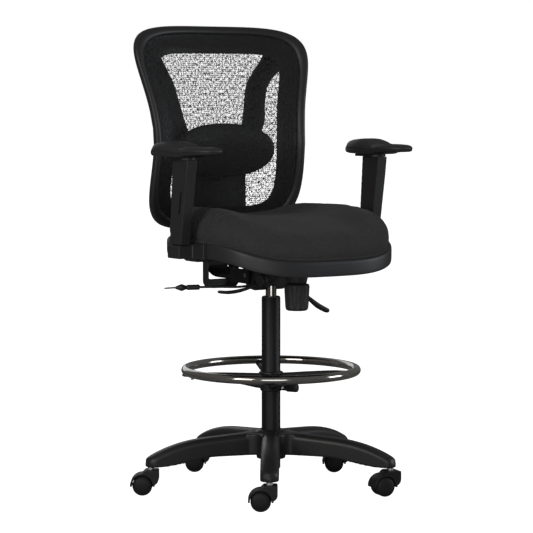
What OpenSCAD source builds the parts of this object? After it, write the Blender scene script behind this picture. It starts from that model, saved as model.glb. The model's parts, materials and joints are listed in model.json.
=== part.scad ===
// Drafting chair: five-star base on casters, tall gas column with a foot ring,
// tilting mechanism, upholstered seat, height-adjustable arms and a mesh back.
// Origin on the floor under the column axis, +Z up, the chair faces -Y.

/* [Base] */
// Distance from the column axis to the end of each base arm
base_reach = 330; // [320:1:345]
// Radius of the circle that the caster stems stand on
stem_circle = 316; // [306:1:318]
// Width of a base arm
leg_w = 46; // [40:1:52]
// Height of the top of the base hub
hub_top = 154; // [150:1:160]
// Direction of the first base arm
base_turn = -123.8; // [-180:0.1:180]

/* [Casters] */
// Wheel diameter
wheel_d = 50; // [44:1:52]
// Distance from the stem axis back to the wheel axle
trail = 21; // [18:1:24]
// Direction in which the casters trail
trail_turn = 147; // [0:1:360]
// Extra turn of the second caster
trail_extra = 22; // [0:1:45]

/* [Column] */
// Outer tube diameter
tube_d = 48; // [46:1:50]
// Height of the top of the outer tube
tube_top = 490; // [480:1:492]
// Gas cylinder diameter
cyl_d = 28; // [27:1:29]
// Height of the lower end of the mechanism boss
boss_z = 520; // [518:1:530]

/* [Foot ring] */
// Outside diameter of the ring
ring_d = 457; // [440:1:470]
// Diameter of the ring tube
ring_tube = 22; // [18:1:25]
// Height of the ring centre line
ring_z = 305; // [300:1:310]
// Direction of the first spoke
spoke_turn = 155; // [0:1:360]

/* [Mechanism] */
// Width of the mechanism housing
mech_w = 88; // [80:1:90]
// Distance of the tension knob ahead of the column
knob_y = 118; // [112:1:122]
// Largest diameter of the tension knob
knob_d = 64; // [56:1:68]

/* [Seat] */
// Seat width
seat_w = 512; // [480:1:520]
// Seat depth
seat_d = 482; // [460:1:500]
// Distance of the seat centre ahead of the column
seat_y = 36; // [20:1:45]
// Height of the underside of the seat shell
seat_z = 604; // [604:1:606]
// Height of the shell band round the edge
band_h = 37; // [28:1:38]
// Drop of the seat at its front edge
droop = 43; // [30:1:46]
// Height of the highest point of the cushion
seat_top = 712; // [690:1:720]

/* [Arms] */
// Distance of each arm post from the middle of the chair
arm_x = 285; // [282:1:292]
// Forward lean of the arm posts
arm_lean = 6.6; // [0:0.1:8]
// Height of the underside of the arm pads
pad_z = 850; // [848:1:860]
// Length of an arm pad
pad_len = 256; // [230:1:270]
// Width of an arm pad
pad_w = 90; // [80:1:95]

/* [Back] */
// Height of the lower edge of the back
back_z0 = 652; // [650:1:660]
// Height of the upper edge of the back
back_z1 = 1181; // [1150:1:1190]
// Half width of the back at the waist
waist = 228; // [215:1:235]
// Forward curve of the sides ahead of the middle
bow = 30; // [10:1:35]
// Width of the front rim
rim_w = 22; // [18:1:26]
// Width of the dark border behind the mesh
border_w = 71; // [60:1:80]

/* [Hidden] */
$fn = 48;

// Fits: running fit on a radius, and the gap between other neighbours
fit = 0.05;
gap = 0.5;

// Colours
nylon = "#202123";
plastic = "#232326";
fabric = "#333335";
netting = "#2a2a2c";
chrome = "#c9ccd0";
steel = "#8d9095";
zinc = "#a6a9ad";
brass = "#b09a5b";
wood = "#b08d5f";

// Levels that several pieces share
wheel_r = wheel_d / 2;
leg_bottom = 70;
hood_top = 64;
collar_bottom = 251;
collar_top = 300;
mech_top = 596;
seat_pivot = [-60, 572];
back_pivot = [40, 545];
post_y = -40;
post_z = 745;
bar_y = 290;
bar_t = 10;
bar_w = 60;
lumbar_z = 857;
lever_x = mech_w / 2 - 2;

// Points along a cubic curve with four control points
function curve(p, n = 10) = [for (i = [0:n]) let (t = i / n, s = 1 - t)
    s*s*s*p[0] + 3*s*s*t*p[1] + 3*s*t*t*p[2] + t*t*t*p[3]];
// Points along an arc
function arc(c, r, a0, a1, n = 6) = [for (i = [0:n]) let (a = a0 + (a1 - a0) * i / n)
    c + r * [cos(a), sin(a)]];
// Signed power, for rounded outlines
function spow(v, e) = sign(v) * pow(abs(v), e);
// Rounded outline point at angle a, with half sizes hx and hy and squareness n
function rounded(hx, hy, n, a) = [hx * spow(cos(a), 2 / n), hy * spow(sin(a), 2 / n)];
// Faces of a solid that closes on itself both ways, m rings of k points
function loop_faces(m, k) = [for (i = [0:m-1], j = [0:k-1]) let (a = (i + 1) % m, b = (j + 1) % k)
    each [[i*k + j, a*k + j, a*k + b], [i*k + j, a*k + b, i*k + b]]];
// Faces of a solid of m rings of k points with flat ends
function stack_faces(m, k) = concat(
    [[for (j = [0:k-1]) j]],
    [for (i = [0:m-2], j = [0:k-1]) let (b = (j + 1) % k)
        each [[i*k + j, (i+1)*k + j, (i+1)*k + b], [i*k + j, (i+1)*k + b, i*k + b]]],
    [[for (j = [k-1:-1:0]) (m-1)*k + j]]);
module loop_solid(rings) polyhedron([for (r = rings) each r], loop_faces(len(rings), len(rings[0])),
                                    convexity = 8);
module stack_solid(rings) polyhedron([for (r = rings) each r], stack_faces(len(rings), len(rings[0])),
                                     convexity = 8);
// Extrudes a profile drawn in Y and Z along X, centred
module along_x(w) rotate([90, 0, 90]) translate([0, 0, -w / 2]) linear_extrude(w) children();
// Extrudes a profile drawn in X and Z along Y, centred
module along_y(w) rotate([90, 0, 0]) translate([0, 0, -w / 2]) linear_extrude(w) children();
// Cylinder along X, centred
module rod_x(r, l) rotate([0, 90, 0]) cylinder(r = r, h = l, center = true);

// ---- five-star base ----
function leg_angle(k) = base_turn + 72 * (k - 1);
function leg_top() = curve([[20, hub_top - 1], [180, hub_top - 9], [290, 124], [base_reach, 88]]);
function leg_under() = curve([[298, leg_bottom], [250, 74], [190, 92], [60, 90]]);
module leg_side() polygon(concat(leg_top(), [[base_reach, 74], [base_reach - 4, leg_bottom]],
                                 leg_under(), [[20, 88]]));
module leg_plan() union() {
    translate([0, -leg_w / 2]) square([base_reach - leg_w / 2, leg_w]);
    translate([base_reach - leg_w / 2, 0]) circle(d = leg_w);
}
module leg_pocket() intersection() {
    along_y(leg_w - 9) polygon([[52, 60], [52, 142], [150, 134], [230, 119], [292, 98], [292, 60]]);
    translate([0, 0, 50]) difference() {
        linear_extrude(120) translate([45, -leg_w / 2]) square([250, leg_w]);
        translate([0, -1.5, -1]) cube([300, 3, 130]);
        for (r = [105, 160, 215, 262]) translate([r, -leg_w / 2, 10]) cube([3, leg_w, 130]);
    }
}
module leg() difference() {
    intersection() {
        along_y(leg_w + 2) leg_side();
        linear_extrude(200) leg_plan();
    }
    leg_pocket();
    translate([stem_circle, 0, leg_bottom - 1]) cylinder(r = 5.5 + fit, h = 24);
}
// Concave corner between two neighbouring legs
module leg_fillet(r = 18) {
    side = leg_w / 2 - 0.3;
    d = (side + r) / sin(36);
    along = d * cos(36);
    q = [along * cos(36) + (side - 3) * sin(36), along * sin(36) - (side - 3) * cos(36)];
    translate([0, 0, 89]) linear_extrude(hub_top - 94) difference() {
        polygon([[20, 0], [q[0], q[1]], [d, 0], [q[0], -q[1]]]);
        translate([d, 0]) circle(r = r);
    }
}
module five_star_base() color(nylon) difference() {
    union() {
        for (k = [1:5]) rotate(leg_angle(k)) leg();
        for (k = [1:5]) rotate(leg_angle(k) + 36) leg_fillet();
        translate([0, 0, 78]) cylinder(r = 37, h = hub_top - 78);
    }
    translate([0, 0, 60]) cylinder(r = tube_d / 2 + fit, h = 120);
}

// ---- column ----
module column_outer_tube() color(plastic) difference() {
    translate([0, 0, 52]) cylinder(d = tube_d, h = tube_top - 52);
    translate([0, 0, 55]) cylinder(d = tube_d - 3, h = tube_top);
    translate([0, 0, 40]) cylinder(r = 5 + fit, h = 30);
}
module column_bushing() color(plastic) difference() {
    union() {
        translate([0, 0, tube_top - 80]) cylinder(d = tube_d - 3.2, h = 80);
        translate([0, 0, tube_top + 0.05]) cylinder(d = tube_d - 2, h = 3);
    }
    translate([0, 0, tube_top - 90]) cylinder(r = cyl_d / 2 + fit, h = 100);
}
module thrust_bearing() color(steel) difference() {
    translate([0, 0, 55.1]) cylinder(r = 15, h = 6);
    translate([0, 0, 50]) cylinder(r = 5 + gap, h = 20);
}
module piston_rod() color(steel) {
    translate([0, 0, 48]) cylinder(r = 5, h = 380);
    translate([0, 0, 61.5]) cylinder(r = 14, h = 4);
    translate([0, 0, 425]) cylinder(r = 12 - fit, h = 12);
}
module rod_clip() color(zinc) translate([0, 0, 48]) difference() {
    cylinder(r = 9, h = 3.4);
    translate([0, 0, -1]) cylinder(r = 5.02, h = 6);
}
module gas_cylinder() color(chrome) difference() {
    translate([0, 0, 160]) cylinder(d = cyl_d, h = boss_z + 30 - 160);
    translate([0, 0, 172]) cylinder(r = 12, h = boss_z - 160);
    translate([0, 0, 150]) cylinder(r = 5 + fit, h = 40);
}

// ---- casters: local frame with the stem on Z and the wheel trailing along +X ----
module at_caster(k) rotate(leg_angle(k)) translate([stem_circle, 0, 0])
    rotate(trail_turn + (k == 2 ? trail_extra : 0) - leg_angle(k)) children();
module hood_outline() union() {
    intersection() {
        translate([trail, wheel_r]) circle(r = 31);
        translate([trail - 40, wheel_r - 2]) square([80, 45]);
    }
    polygon(concat([[trail, hood_top - 8], [trail - 3, hood_top - 4], [trail - 8, hood_top]],
                   arc([-17, hood_top - 3], 3, 90, 180, 3), arc([-4, 42], 16, 180, 262),
                   [[trail, 26]]));
}
module caster_hood(k) color(plastic) at_caster(k) difference() {
    union() {
        along_y(46) difference() {
            hood_outline();
            translate([trail, wheel_r]) circle(r = wheel_r + 1.2);
        }
        along_y(7) union() {
            translate([trail, wheel_r]) circle(r = 9);
            intersection() {
                hood_outline();
                translate([trail - 30, wheel_r - 2]) square([52, 34]);
            }
        }
    }
    translate([trail, 0, wheel_r]) rotate([90, 0, 0]) cylinder(r = 3 + fit, h = 80, center = true);
    translate([0, 0, 48]) cylinder(r = 5.5 + fit, h = 30);
}
module caster_stem(k) color(zinc) at_caster(k) {
    translate([0, 0, 48.2]) cylinder(r = 5.5, h = 43);
    translate([0, 0, hood_top + 0.1]) cylinder(r = 8, h = 5.4);
    translate([trail, 0, wheel_r]) rotate([90, 0, 0]) cylinder(r = 3, h = 37, center = true);
}
module wheel() rotate_extrude()
    polygon([[3 + fit, 0], [wheel_r - 2, 0], [wheel_r, 2], [wheel_r, 15], [wheel_r - 1.5, 17.5],
             [wheel_r - 5, 19], [14, 20.5], [0, 21], [0, 15.5], [3 + fit, 15.5]]);
module caster_wheels(k) color(nylon) at_caster(k) translate([trail, 0, wheel_r])
    for (s = [-1, 1]) rotate([90 * s, 0, 0]) translate([0, 0, 4]) wheel();

// ---- foot ring ----
ring_r = (ring_d - ring_tube) / 2;
module foot_ring() color(chrome) translate([0, 0, ring_z]) rotate_extrude($fn = 96)
    translate([ring_r, 0]) difference() {
        circle(d = ring_tube);
        circle(d = ring_tube - 3);
    }
module spoke_side() polygon([[20, 256], [20, 297], [120, 300], [ring_r - 14, 302], [ring_r - 10, 299],
                             [ring_r + 9, 299], [ring_r + 9, 290], [150, 284], [70, 266]]);
module foot_ring_hub() color(nylon) difference() {
    union() {
        translate([0, 0, collar_bottom]) cylinder(r = 28, h = collar_top - collar_bottom);
        translate([0, 0, collar_top - 5]) cylinder(r = 31, h = 5);
        for (k = [0:3]) rotate(spoke_turn + 90 * k) along_y(18) spoke_side();
        rotate(299) translate([0, 0, 262]) rotate([0, 90, 0]) cylinder(r = 9, h = 38);
    }
    translate([0, 0, 240]) cylinder(r = tube_d / 2 + fit, h = 80);
    rotate(299) translate([0, 0, 262]) rotate([0, 90, 0]) cylinder(r = 4 + fit, h = 60);
    translate([0, 0, ring_z]) rotate_extrude($fn = 96) translate([ring_r, 0])
        circle(d = ring_tube + 0.1);
    for (k = [0:3]) rotate(spoke_turn + 90 * k) translate([ring_r - 16, 0, 280])
        cylinder(r = 2.1, h = 15);
}
module foot_ring_screws() color(steel) for (k = [0:3])
    rotate(spoke_turn + 90 * k) translate([ring_r - 16, 0, 0]) {
        translate([0, 0, 284]) cylinder(r = 2, h = 10);
        translate([0, 0, 282.5]) cylinder(r = 4, h = 3);
    }
module foot_ring_knob() color(plastic) rotate(299) translate([0, 0, 262]) rotate([0, 90, 0]) {
    translate([0, 0, tube_d / 2 + 0.6]) cylinder(r = 4, h = 40);
    difference() {
        translate([0, 0, 39]) cylinder(r = 11, h = 37);
        for (a = [0:45:359]) rotate(a) translate([13, 0, 44]) cylinder(r = 3.2, h = 50);
    }
}

// ---- mechanism ----
module mechanism_side() polygon(concat(
    [[-136, 572], [-130, mech_top - 8], [-120, mech_top - 3], [-60, mech_top], [0, mech_top - 8],
     [62, mech_top - 24]],
    arc([52, 552], 16, 20, -60), [[46, 512], [10, 508], [-14, 520], [-90, 548], [-128, 552]]));
module mechanism_housing() color(nylon) difference() {
    union() {
        along_x(mech_w) mechanism_side();
        translate([0, 0, boss_z]) cylinder(r1 = 18.5, r2 = 24, h = 30);
        translate([-mech_w / 2 - 4, -33, 537]) rod_x(16, 16);
    }
    translate([0, 0, 500]) cylinder(r = cyl_d / 2 + fit, h = boss_z + 31 - 500);
    cylinder(r = 4, h = 570);
    translate([0, seat_pivot[0], seat_pivot[1]]) rod_x(5 + fit, 120);
    translate([0, back_pivot[0], back_pivot[1]]) rod_x(6 + fit, 120);
    translate([0, -knob_y, 500]) cylinder(r = 5 + fit, h = 85);
    for (q = [[lever_x, -20], [-lever_x, -8], [-lever_x, 12]]) translate([q[0], q[1], 524])
        rotate([90, 0, 0]) cylinder(r = 9, h = 11, center = true);
}
module tension_boot() color(plastic) translate([0, -knob_y, 534]) difference() {
    cylinder(r1 = 25, r2 = 28, h = 14);
    translate([0, 0, -1]) cylinder(r = 5 + fit, h = 40);
}
module tension_bolt() color(steel) translate([0, -knob_y, 478]) cylinder(r = 5, h = 105);
module tension_knob() color(plastic) translate([0, -knob_y, 0]) difference() {
    rotate_extrude() polygon([[5 + fit, 470], [knob_d / 2 - 9, 465], [knob_d / 2 - 4, 469],
                              [knob_d / 2 - 2.5, 475], [knob_d / 2, 526], [knob_d / 2 - 2, 531],
                              [knob_d / 2 - 8, 533], [5 + fit, 533]]);
    for (a = [0:30:359]) rotate(a) translate([knob_d / 2 + 2.6, 0, 476]) cylinder(r = 4, h = 44);
}
// A lever: a round bar from the pivot through a list of points, each with its radius
module bar_through(p, r) for (i = [0:len(p)-2]) hull() {
    translate(p[i]) sphere(r = r[i], $fn = 20);
    translate(p[i+1]) sphere(r = r[i+1], $fn = 20);
}
module height_lever() color(plastic) {
    bar_through([[lever_x, -20, 524], [75, -20, 505], [108, -21, 478]], [4, 4, 4.5]);
    hull() for (p = [[108, 479, 6, 9], [138, 459, 7, 12], [160, 449, 6, 10]])
        translate([p[0], -21, p[1]]) scale([1, p[3] / p[2], 1]) sphere(r = p[2], $fn = 24);
}
module back_lock_lever() color(plastic) {
    bar_through([[-lever_x, 12, 524], [-72, 21, 519], [-190, 58, 520]], [3, 3, 3]);
    bar_through([[-186, 57, 520], [-214, 65, 520]], [7, 7]);
    bar_through([[-216, 65, 520], [-226, 68, 520], [-240, 72, 520]], [5, 9, 2.5]);
    bar_through([[-238, 71, 520], [-268, 80, 519]], [2, 2]);
}
module tilt_lock_lever() color(plastic) {
    bar_through([[-lever_x, -8, 524], [-72, -6, 517], [-98, -2, 511]], [3.5, 3.5, 4]);
    hull() for (p = [[-100, 510, 8], [-125, 507, 11], [-152, 511, 9]])
        translate([p[0], 2, p[1]]) scale([1, p[2] / 4, 1]) sphere(r = 4, $fn = 24);
}

// ---- seat ----
// Drop of the seat towards its front edge, at depth y
front_y = -seat_y - seat_d / 2;
function drop(y) = y > -110 ? 0 : droop * pow((-110 - y) / (-110 - front_y), 2);
seat_n = 3.3;
function seat_ring(inset, z, k = 56) = [for (i = [0:k-1])
    let (p = rounded(seat_w / 2 - inset, seat_d / 2 - inset, seat_n, 360 * i / k))
    [p[0], p[1] - seat_y, z - drop(p[1] - seat_y)]];
module seat_pivot_pin() color(steel)
    translate([0, seat_pivot[0], seat_pivot[1]]) rod_x(5, mech_w + 14);
module seat_plate() color(steel) difference() {
    union() {
        translate([-95, -116, 600]) cube([190, 206, 4.5]);
        for (s = [-1, 1]) translate([s * (mech_w / 2 + 4.5) - 2, seat_pivot[0] - 18, 558])
            cube([4, 36, 44]);
        for (s = [-1, 1]) translate([s * (mech_w / 2 + 12) - 1.5, -112, 582]) cube([3, 196, 20]);
    }
    translate([0, seat_pivot[0], seat_pivot[1]]) rod_x(5.02, 140);
    for (x = [-80, 80], y = [-95, 70]) translate([x, y, 590]) cylinder(r = 3.3, h = 30);
}
module seat_pan() color(wood) difference() {
    stack_solid([for (q = [[236, 607.2], [150, 607.2], [100, 607.2], [62, 607.2], [12, 607.2],
                           [9, 612], [12, 617], [62, 617], [100, 617], [150, 617], [236, 617]]) seat_ring(q[0], q[1])]);
    for (x = [-80, 80], y = [-95, 70]) translate([x, y, 590]) cylinder(r = 3.2, h = 25);
    for (s = [-1, 1], x = [110, 150], y = [-23]) translate([s * x, y, 590]) cylinder(r = 3.2, h = 25);
}
module seat_shell() color(plastic) {
    k = 56;
    section = [[0.5, seat_z - 1], [0, seat_z + band_h - 2], [1.5, seat_z + band_h],
               [5, seat_z + band_h], [5, seat_z + 6], [8, seat_z + 2.9], [12, seat_z + 2.9],
               [62, seat_z + 2.9],
               [62, seat_z], [16, seat_z], [12, seat_z - 3], [3, seat_z - 3]];
    rings = [for (q = section) seat_ring(q[0], q[1], k)];
    difference() {
        loop_solid([for (i = [k-1:-1:0]) [for (r = rings) r[i]]]);
        for (s = [-1, 1]) translate([s * (seat_w / 2 - 2.2) - 6, -102, 590]) cube([12, 126, 60]);
    }
}
module seat_cushion() color(fabric) {
    edge = seat_z + band_h;
    stack_solid([for (q = [[236, 618.6], [150, 618.6], [100, 618.6], [62, 618.6], [12, 618.6], [6.5, 623],
                           [6.5, edge - 1], [3, edge + 3], [1.5, edge + 14], [4, edge + 34],
                           [16, edge + 52], [40, seat_top - 8], [80, seat_top - 1],
                           [150, seat_top], [236, seat_top]]) seat_ring(q[0], q[1])]);
}
module seat_bolts() color(zinc) for (x = [-80, 80], y = [-95, 70]) translate([x, y, 0]) {
    translate([0, 0, 595.5]) cylinder(r = 6, h = 4.4);
    translate([0, 0, 599]) cylinder(r = 3, h = 15);
}

// ---- arms: local frame with Z up the leaning post ----
module at_post(s) translate([s * arm_x, post_y, post_z]) rotate([arm_lean, 0, 0]) children();
module arm_bracket(s) color(nylon) {
    foot_y = post_y + (post_z - 600) * tan(arm_lean);
    difference() {
        translate([0, foot_y, 0]) scale([s, 1, 1]) along_y(56)
            polygon([[98, 592], [249, 592], [262, 601.5], [arm_x + 15, 601.5], [arm_x + 17, 604],
                     [arm_x + 17, 634], [252, 634], [252, 600.2], [98, 600.2]]);
        for (x = [110, 150]) translate([s * x, -23, 586]) cylinder(r = 3.2, h = 24);
    }
    at_post(s) translate([-7, -19, -112]) cube([14, 38, 180]);
    translate([s * 256.4 - 6.1, -101, 601.5]) cube([12.2, 124, 37.5]);
}
module arm_bolts() color(zinc) for (s = [-1, 1], x = [110, 150]) translate([s * x, -23, 0]) {
    translate([0, 0, 587.5]) cylinder(r = 6, h = 4.4);
    translate([0, 0, 591]) cylinder(r = 3, h = 23);
    translate([0, 0, 600.4]) cylinder(r = 8, h = 6.7);
}
module arm_sleeve(s) color(nylon) difference() {
    at_post(s) difference() {
        intersection() {
            along_x(28) polygon([[-25, -120], [25, -120], [35, 110], [-37, 110]]);
            translate([0, 0, -125]) linear_extrude(245) polygon([[s * 14, -34], [s * 12, -37],
                [-s * 14, -38], [-s * 14, 36], [s * 11, 35], [s * 14, 32]]);
        }
        translate([-7 - gap, -19 - gap, -140]) cube([14 + 2 * gap, 38 + 2 * gap, 295]);
        translate([s * 14 - 2.5, -12, -34]) rotate([4, 0, 0]) cube([5, 5, 58]);
    }
    translate([s * arm_x - 60, post_y - 90, pad_z - 6]) cube([120, 160, 60]);
    translate([s * arm_x - 60, post_y - 60, 576]) cube([120, 160, 60]);
}
module arm_plate(s) color(steel) translate([s * arm_x, post_y + 8, pad_z - 5.8])
    linear_extrude(5.6) union() {
        square([44, 60], center = true);
        for (y = [-30, 30]) translate([0, y]) circle(r = 22);
    }
// Arm pad: top and underside heights at q from the front (-1) to the rear (1)
function pad_top(q) = lookup(q, [[-1, 25], [-0.8, 28], [-0.5, 28.5], [-0.25, 28], [-0.1, 30],
                                 [0.1, 36], [0.35, 40], [0.6, 38], [0.8, 30], [0.93, 20], [1, 15]]);
function pad_low(q) = lookup(q, [[-1, 11], [-0.6, 7.5], [-0.3, 4], [-0.2, 0.5], [-0.12, 0], [0.5, 0],
                                 [0.8, 1], [1, 4]]);
function pad_ring(inset, level) = [for (i = [0:39])
    let (p = rounded(pad_w / 2 - inset, pad_len / 2 - inset, 2.7, 9 * i), q = p[1] / (pad_len / 2))
    [p[0] * (1 - 0.08 * q * q), p[1], pad_low(q) + level * (pad_top(q) - pad_low(q))]];
module arm_pad(s) color(plastic) translate([s * (arm_x + 3), post_y - 22, pad_z]) rotate(-3 * s)
    stack_solid([for (q = [[41, 0], [16, 0], [5, 0.06], [1, 0.22], [0, 0.4], [1, 0.6], [5, 0.8],
                           [12, 0.93], [24, 1], [41, 1]]) pad_ring(q[0], q[1])]);

// ---- back ----
back_mid = (back_z0 + back_z1) / 2;
back_half = (back_z1 - back_z0) / 2;
waist_z = 887;
// Depth of the side edges at height z: forward at the waist, back at top and bottom
function side_y(z) = z > waist_z ? 176 + 73.5 * pow((z - waist_z) / 293, 1.35)
                                 : 176 + 57 * pow((waist_z - z) / 235, 1.6);
function front_face(x, z) = side_y(z) + bow * (1 - pow(x / 240, 2));
// Half width of the back at height z before its ends are rounded
function half_w(z) = waist + (z > waist_z ? 1.1e-3 : 5e-4) * pow(z - waist_z, 2);
// Point of the back's outline, moved in by inset and back by rear: squarer towards the middle
function back_point(inset, rear, a) = let (
    n = 4.2 + 1.8 * max(0, min(1, (inset - 24) / 47)),
    t = spow(sin(a), 2 / n), low = inset > 30 ? 0.35 * (inset - 30) * max(0, -t) : 0,
    z = back_mid + (back_half - inset) * t - low,
    x = (half_w(z) - inset) * spow(cos(a), 2 / n)) [x, front_face(x, z) + rear, z];
module back_pivot_pin() color(steel)
    translate([0, back_pivot[0], back_pivot[1]]) rod_x(6, mech_w + 20);
module back_bar() color(steel) difference() {
    union() {
        along_x(bar_w) polygon(concat(arc([bar_y - 80, 618], 90, -90, 0, 12),
                                      [[bar_y + bar_t, 800], [bar_y, 800]],
                                      arc([bar_y - 80, 618], 80, 0, -90, 12),
                                      [[74, 538], [74, 528]]));
        translate([-mech_w / 2 - 8.5, 74, 528]) cube([mech_w + 17, 40, bar_t]);
        for (s = [-1, 1]) translate([s * (mech_w / 2 + 5.5) - 3, 24, 524]) cube([6, 90, 36]);
    }
    translate([0, back_pivot[0], back_pivot[1]]) rod_x(6.02, 140);
}
module back_shroud() color(plastic) difference() {
    translate([0, 241, 0]) along_y(26) polygon(concat([[49, 600]], arc([29, 517], 20, 0, -90, 6),
        arc([-29, 517], 20, -90, -180, 6), [[-49, 600]]));
    translate([0, 237, 0]) along_y(26) polygon(concat([[46, 610]], arc([28, 518], 18, 0, -90, 6),
        arc([-28, 518], 18, -90, -180, 6), [[-46, 610]]));
    translate([-bar_w / 2 - gap, 220, 520]) cube([bar_w + 2 * gap, 50, 34]);
}
module back_shell() color(plastic) {
    k = 72;
    section = [[0, 3], [3, -1], [rim_w - 4, -1], [rim_w, 3], [rim_w, 11], [rim_w + 6, 14],
               [border_w, 14], [border_w, 20], [40, 23], [12, 23], [1, 17]];
    loop_solid([for (i = [k-1:-1:0]) [for (q = section) back_point(q[0], q[1], 360 * i / k)]]);
}
module back_mesh() color(netting) {
    k = 72;
    insets = [rim_w + 0.4, 70, 130, 205];
    stack_solid([for (q = concat([for (j = [3:-1:0]) [insets[j], 5]],
                                 [for (j = [0:3]) [insets[j], 7]]))
                 [for (i = [0:k-1]) back_point(q[0], q[1], -360 * i / k)]]);
}
// Arms of the spine: height, inner and outer X, depth of the front
spine_arm = [[790, -2, 101, 274], [815, 0, 101, 273.5], [840, 30, 105, 272.5], [875, 60, 126, 270],
             [925, 87.5, 155, 269], [980, 101, 164, 278], [1030, 114, 180, 286], [1045, 121, 191, 286],
             [1056, 129, 203, 285], [1068, 136, 214, 283], [1105, 159, 218, 278], [1128, 165, 214, 277]];
// Boss that carries an arm's tip: its front follows the rear of the border
module arm_boss(s) stack_solid([for (j = [0, 1]) [for (i = [0:23])
    let (x = s * 184 + 8 * cos(-15 * i), z = 1108 + 8 * sin(-15 * i))
    [x, j == 0 ? front_face(x, z) + 22.6 : 279, z]]]);
module back_spine() color(plastic) {
    difference() {
        union() {
            translate([-37, 285, back_z0 + 4]) cube([74, 21, 190]);
            translate([-101, 274, back_z0 + 35]) cube([202, 12, 105]);
            translate([-22, 272, 780]) cube([44, 13, 135]);
        }
        translate([-bar_w / 2 - gap, bar_y - gap, back_z0 - 10])
            cube([bar_w + 2 * gap, bar_t + 2 * gap, 215]);
    }
    for (s = [-1, 1]) difference() {
        union() {
            stack_solid([for (q = spine_arm) let (x0 = s > 0 ? q[1] : -q[2], x1 = s > 0 ? q[2] : -q[1])
                [[x0, q[3], q[0]], [x1, q[3], q[0]], [x1, q[3] + 12, q[0]], [x0, q[3] + 12, q[0]]]]);
            arm_boss(s);
        }
        translate([s * 184, 240, 1108]) rotate([-90, 0, 0]) cylinder(r = 2.2, h = 80);
    }
}
module back_screws() color(zinc) for (s = [-1, 1]) {
    translate([s * 184, 262.5, 1108]) rotate([-90, 0, 0]) {
        cylinder(r = 2, h = 28.4);
        translate([0, 0, 28.2]) cylinder(r = 5, h = 3);
    }
}
module lumbar_pad() color(plastic) translate([0, 0, lumbar_z]) union() {
    stack_solid([for (q = [[0.1, 13], [0.94, 13], [1, 17], [1, 19], [0.94, 25], [0.1, 25]])
        [for (i = [0:39]) let (p = rounded(150.5 * q[0], 71 * q[0], 2.25, -9 * i))
            [p[0], front_face(p[0], lumbar_z + p[1]) + q[1], p[1]]]]);
    translate([-20, 226, -25]) cube([40, 272 - gap - 226, 50]);
}

five_star_base();
column_outer_tube();
column_bushing();
thrust_bearing();
piston_rod();
rod_clip();
gas_cylinder();
for (k = [1:5]) {
    caster_hood(k);
    caster_stem(k);
    caster_wheels(k);
}
foot_ring();
foot_ring_hub();
foot_ring_screws();
foot_ring_knob();
mechanism_housing();
tension_boot();
tension_bolt();
tension_knob();
height_lever();
back_lock_lever();
tilt_lock_lever();
seat_pivot_pin();
seat_plate();
seat_pan();
seat_shell();
seat_cushion();
seat_bolts();
arm_bracket(1);  // arm_bracket_left
arm_bracket(-1);  // arm_bracket_right
arm_bolts();
arm_sleeve(1);  // arm_sleeve_left
arm_sleeve(-1);  // arm_sleeve_right
arm_plate(1);  // arm_plate_left
arm_plate(-1);  // arm_plate_right
arm_pad(1);  // arm_pad_left
arm_pad(-1);  // arm_pad_right
back_pivot_pin();
back_bar();
back_shroud();
back_shell();
back_mesh();
back_spine();
back_screws();
lumbar_pad();
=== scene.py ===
"""Drafting chair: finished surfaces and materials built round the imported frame.

Every length below is in metres unless a name ends in ``_mm``. The chair stands on z = 0 under its
gas column and faces -Y.
"""

from __future__ import annotations

import json
import logging
import math
from dataclasses import dataclass, field
from enum import Enum

import bpy
import bmesh
import numpy as np
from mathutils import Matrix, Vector

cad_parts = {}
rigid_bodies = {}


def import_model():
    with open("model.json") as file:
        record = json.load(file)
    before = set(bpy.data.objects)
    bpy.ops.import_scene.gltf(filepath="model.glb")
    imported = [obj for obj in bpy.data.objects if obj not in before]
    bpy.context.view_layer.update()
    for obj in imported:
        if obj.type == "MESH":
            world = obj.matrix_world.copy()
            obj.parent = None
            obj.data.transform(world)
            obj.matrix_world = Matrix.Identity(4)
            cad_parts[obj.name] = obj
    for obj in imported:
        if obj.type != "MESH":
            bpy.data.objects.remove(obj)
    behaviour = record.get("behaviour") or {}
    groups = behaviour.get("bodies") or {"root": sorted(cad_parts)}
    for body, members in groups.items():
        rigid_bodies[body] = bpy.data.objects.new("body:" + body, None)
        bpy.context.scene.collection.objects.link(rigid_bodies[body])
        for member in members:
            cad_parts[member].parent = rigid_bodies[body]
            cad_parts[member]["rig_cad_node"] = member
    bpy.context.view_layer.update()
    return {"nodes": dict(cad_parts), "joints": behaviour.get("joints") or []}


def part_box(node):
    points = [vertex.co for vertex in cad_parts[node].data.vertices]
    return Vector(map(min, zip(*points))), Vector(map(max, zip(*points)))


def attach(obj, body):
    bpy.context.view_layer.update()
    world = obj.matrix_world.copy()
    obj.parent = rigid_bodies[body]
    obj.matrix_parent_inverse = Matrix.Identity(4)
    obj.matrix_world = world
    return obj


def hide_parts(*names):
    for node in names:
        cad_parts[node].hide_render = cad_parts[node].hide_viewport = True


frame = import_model()
LOG = logging.getLogger("drafting_chair")
MM = 0.001
TURN = 2 * math.pi
HALF_ARM_STEP = math.radians(36)
DUST_COLOR = (0.30, 0.29, 0.27, 1)
WORN_COLOR = (0.05, 0.05, 0.053, 1)
Array = np.ndarray


# ---------------------------------------------------------------- surfaces


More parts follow.
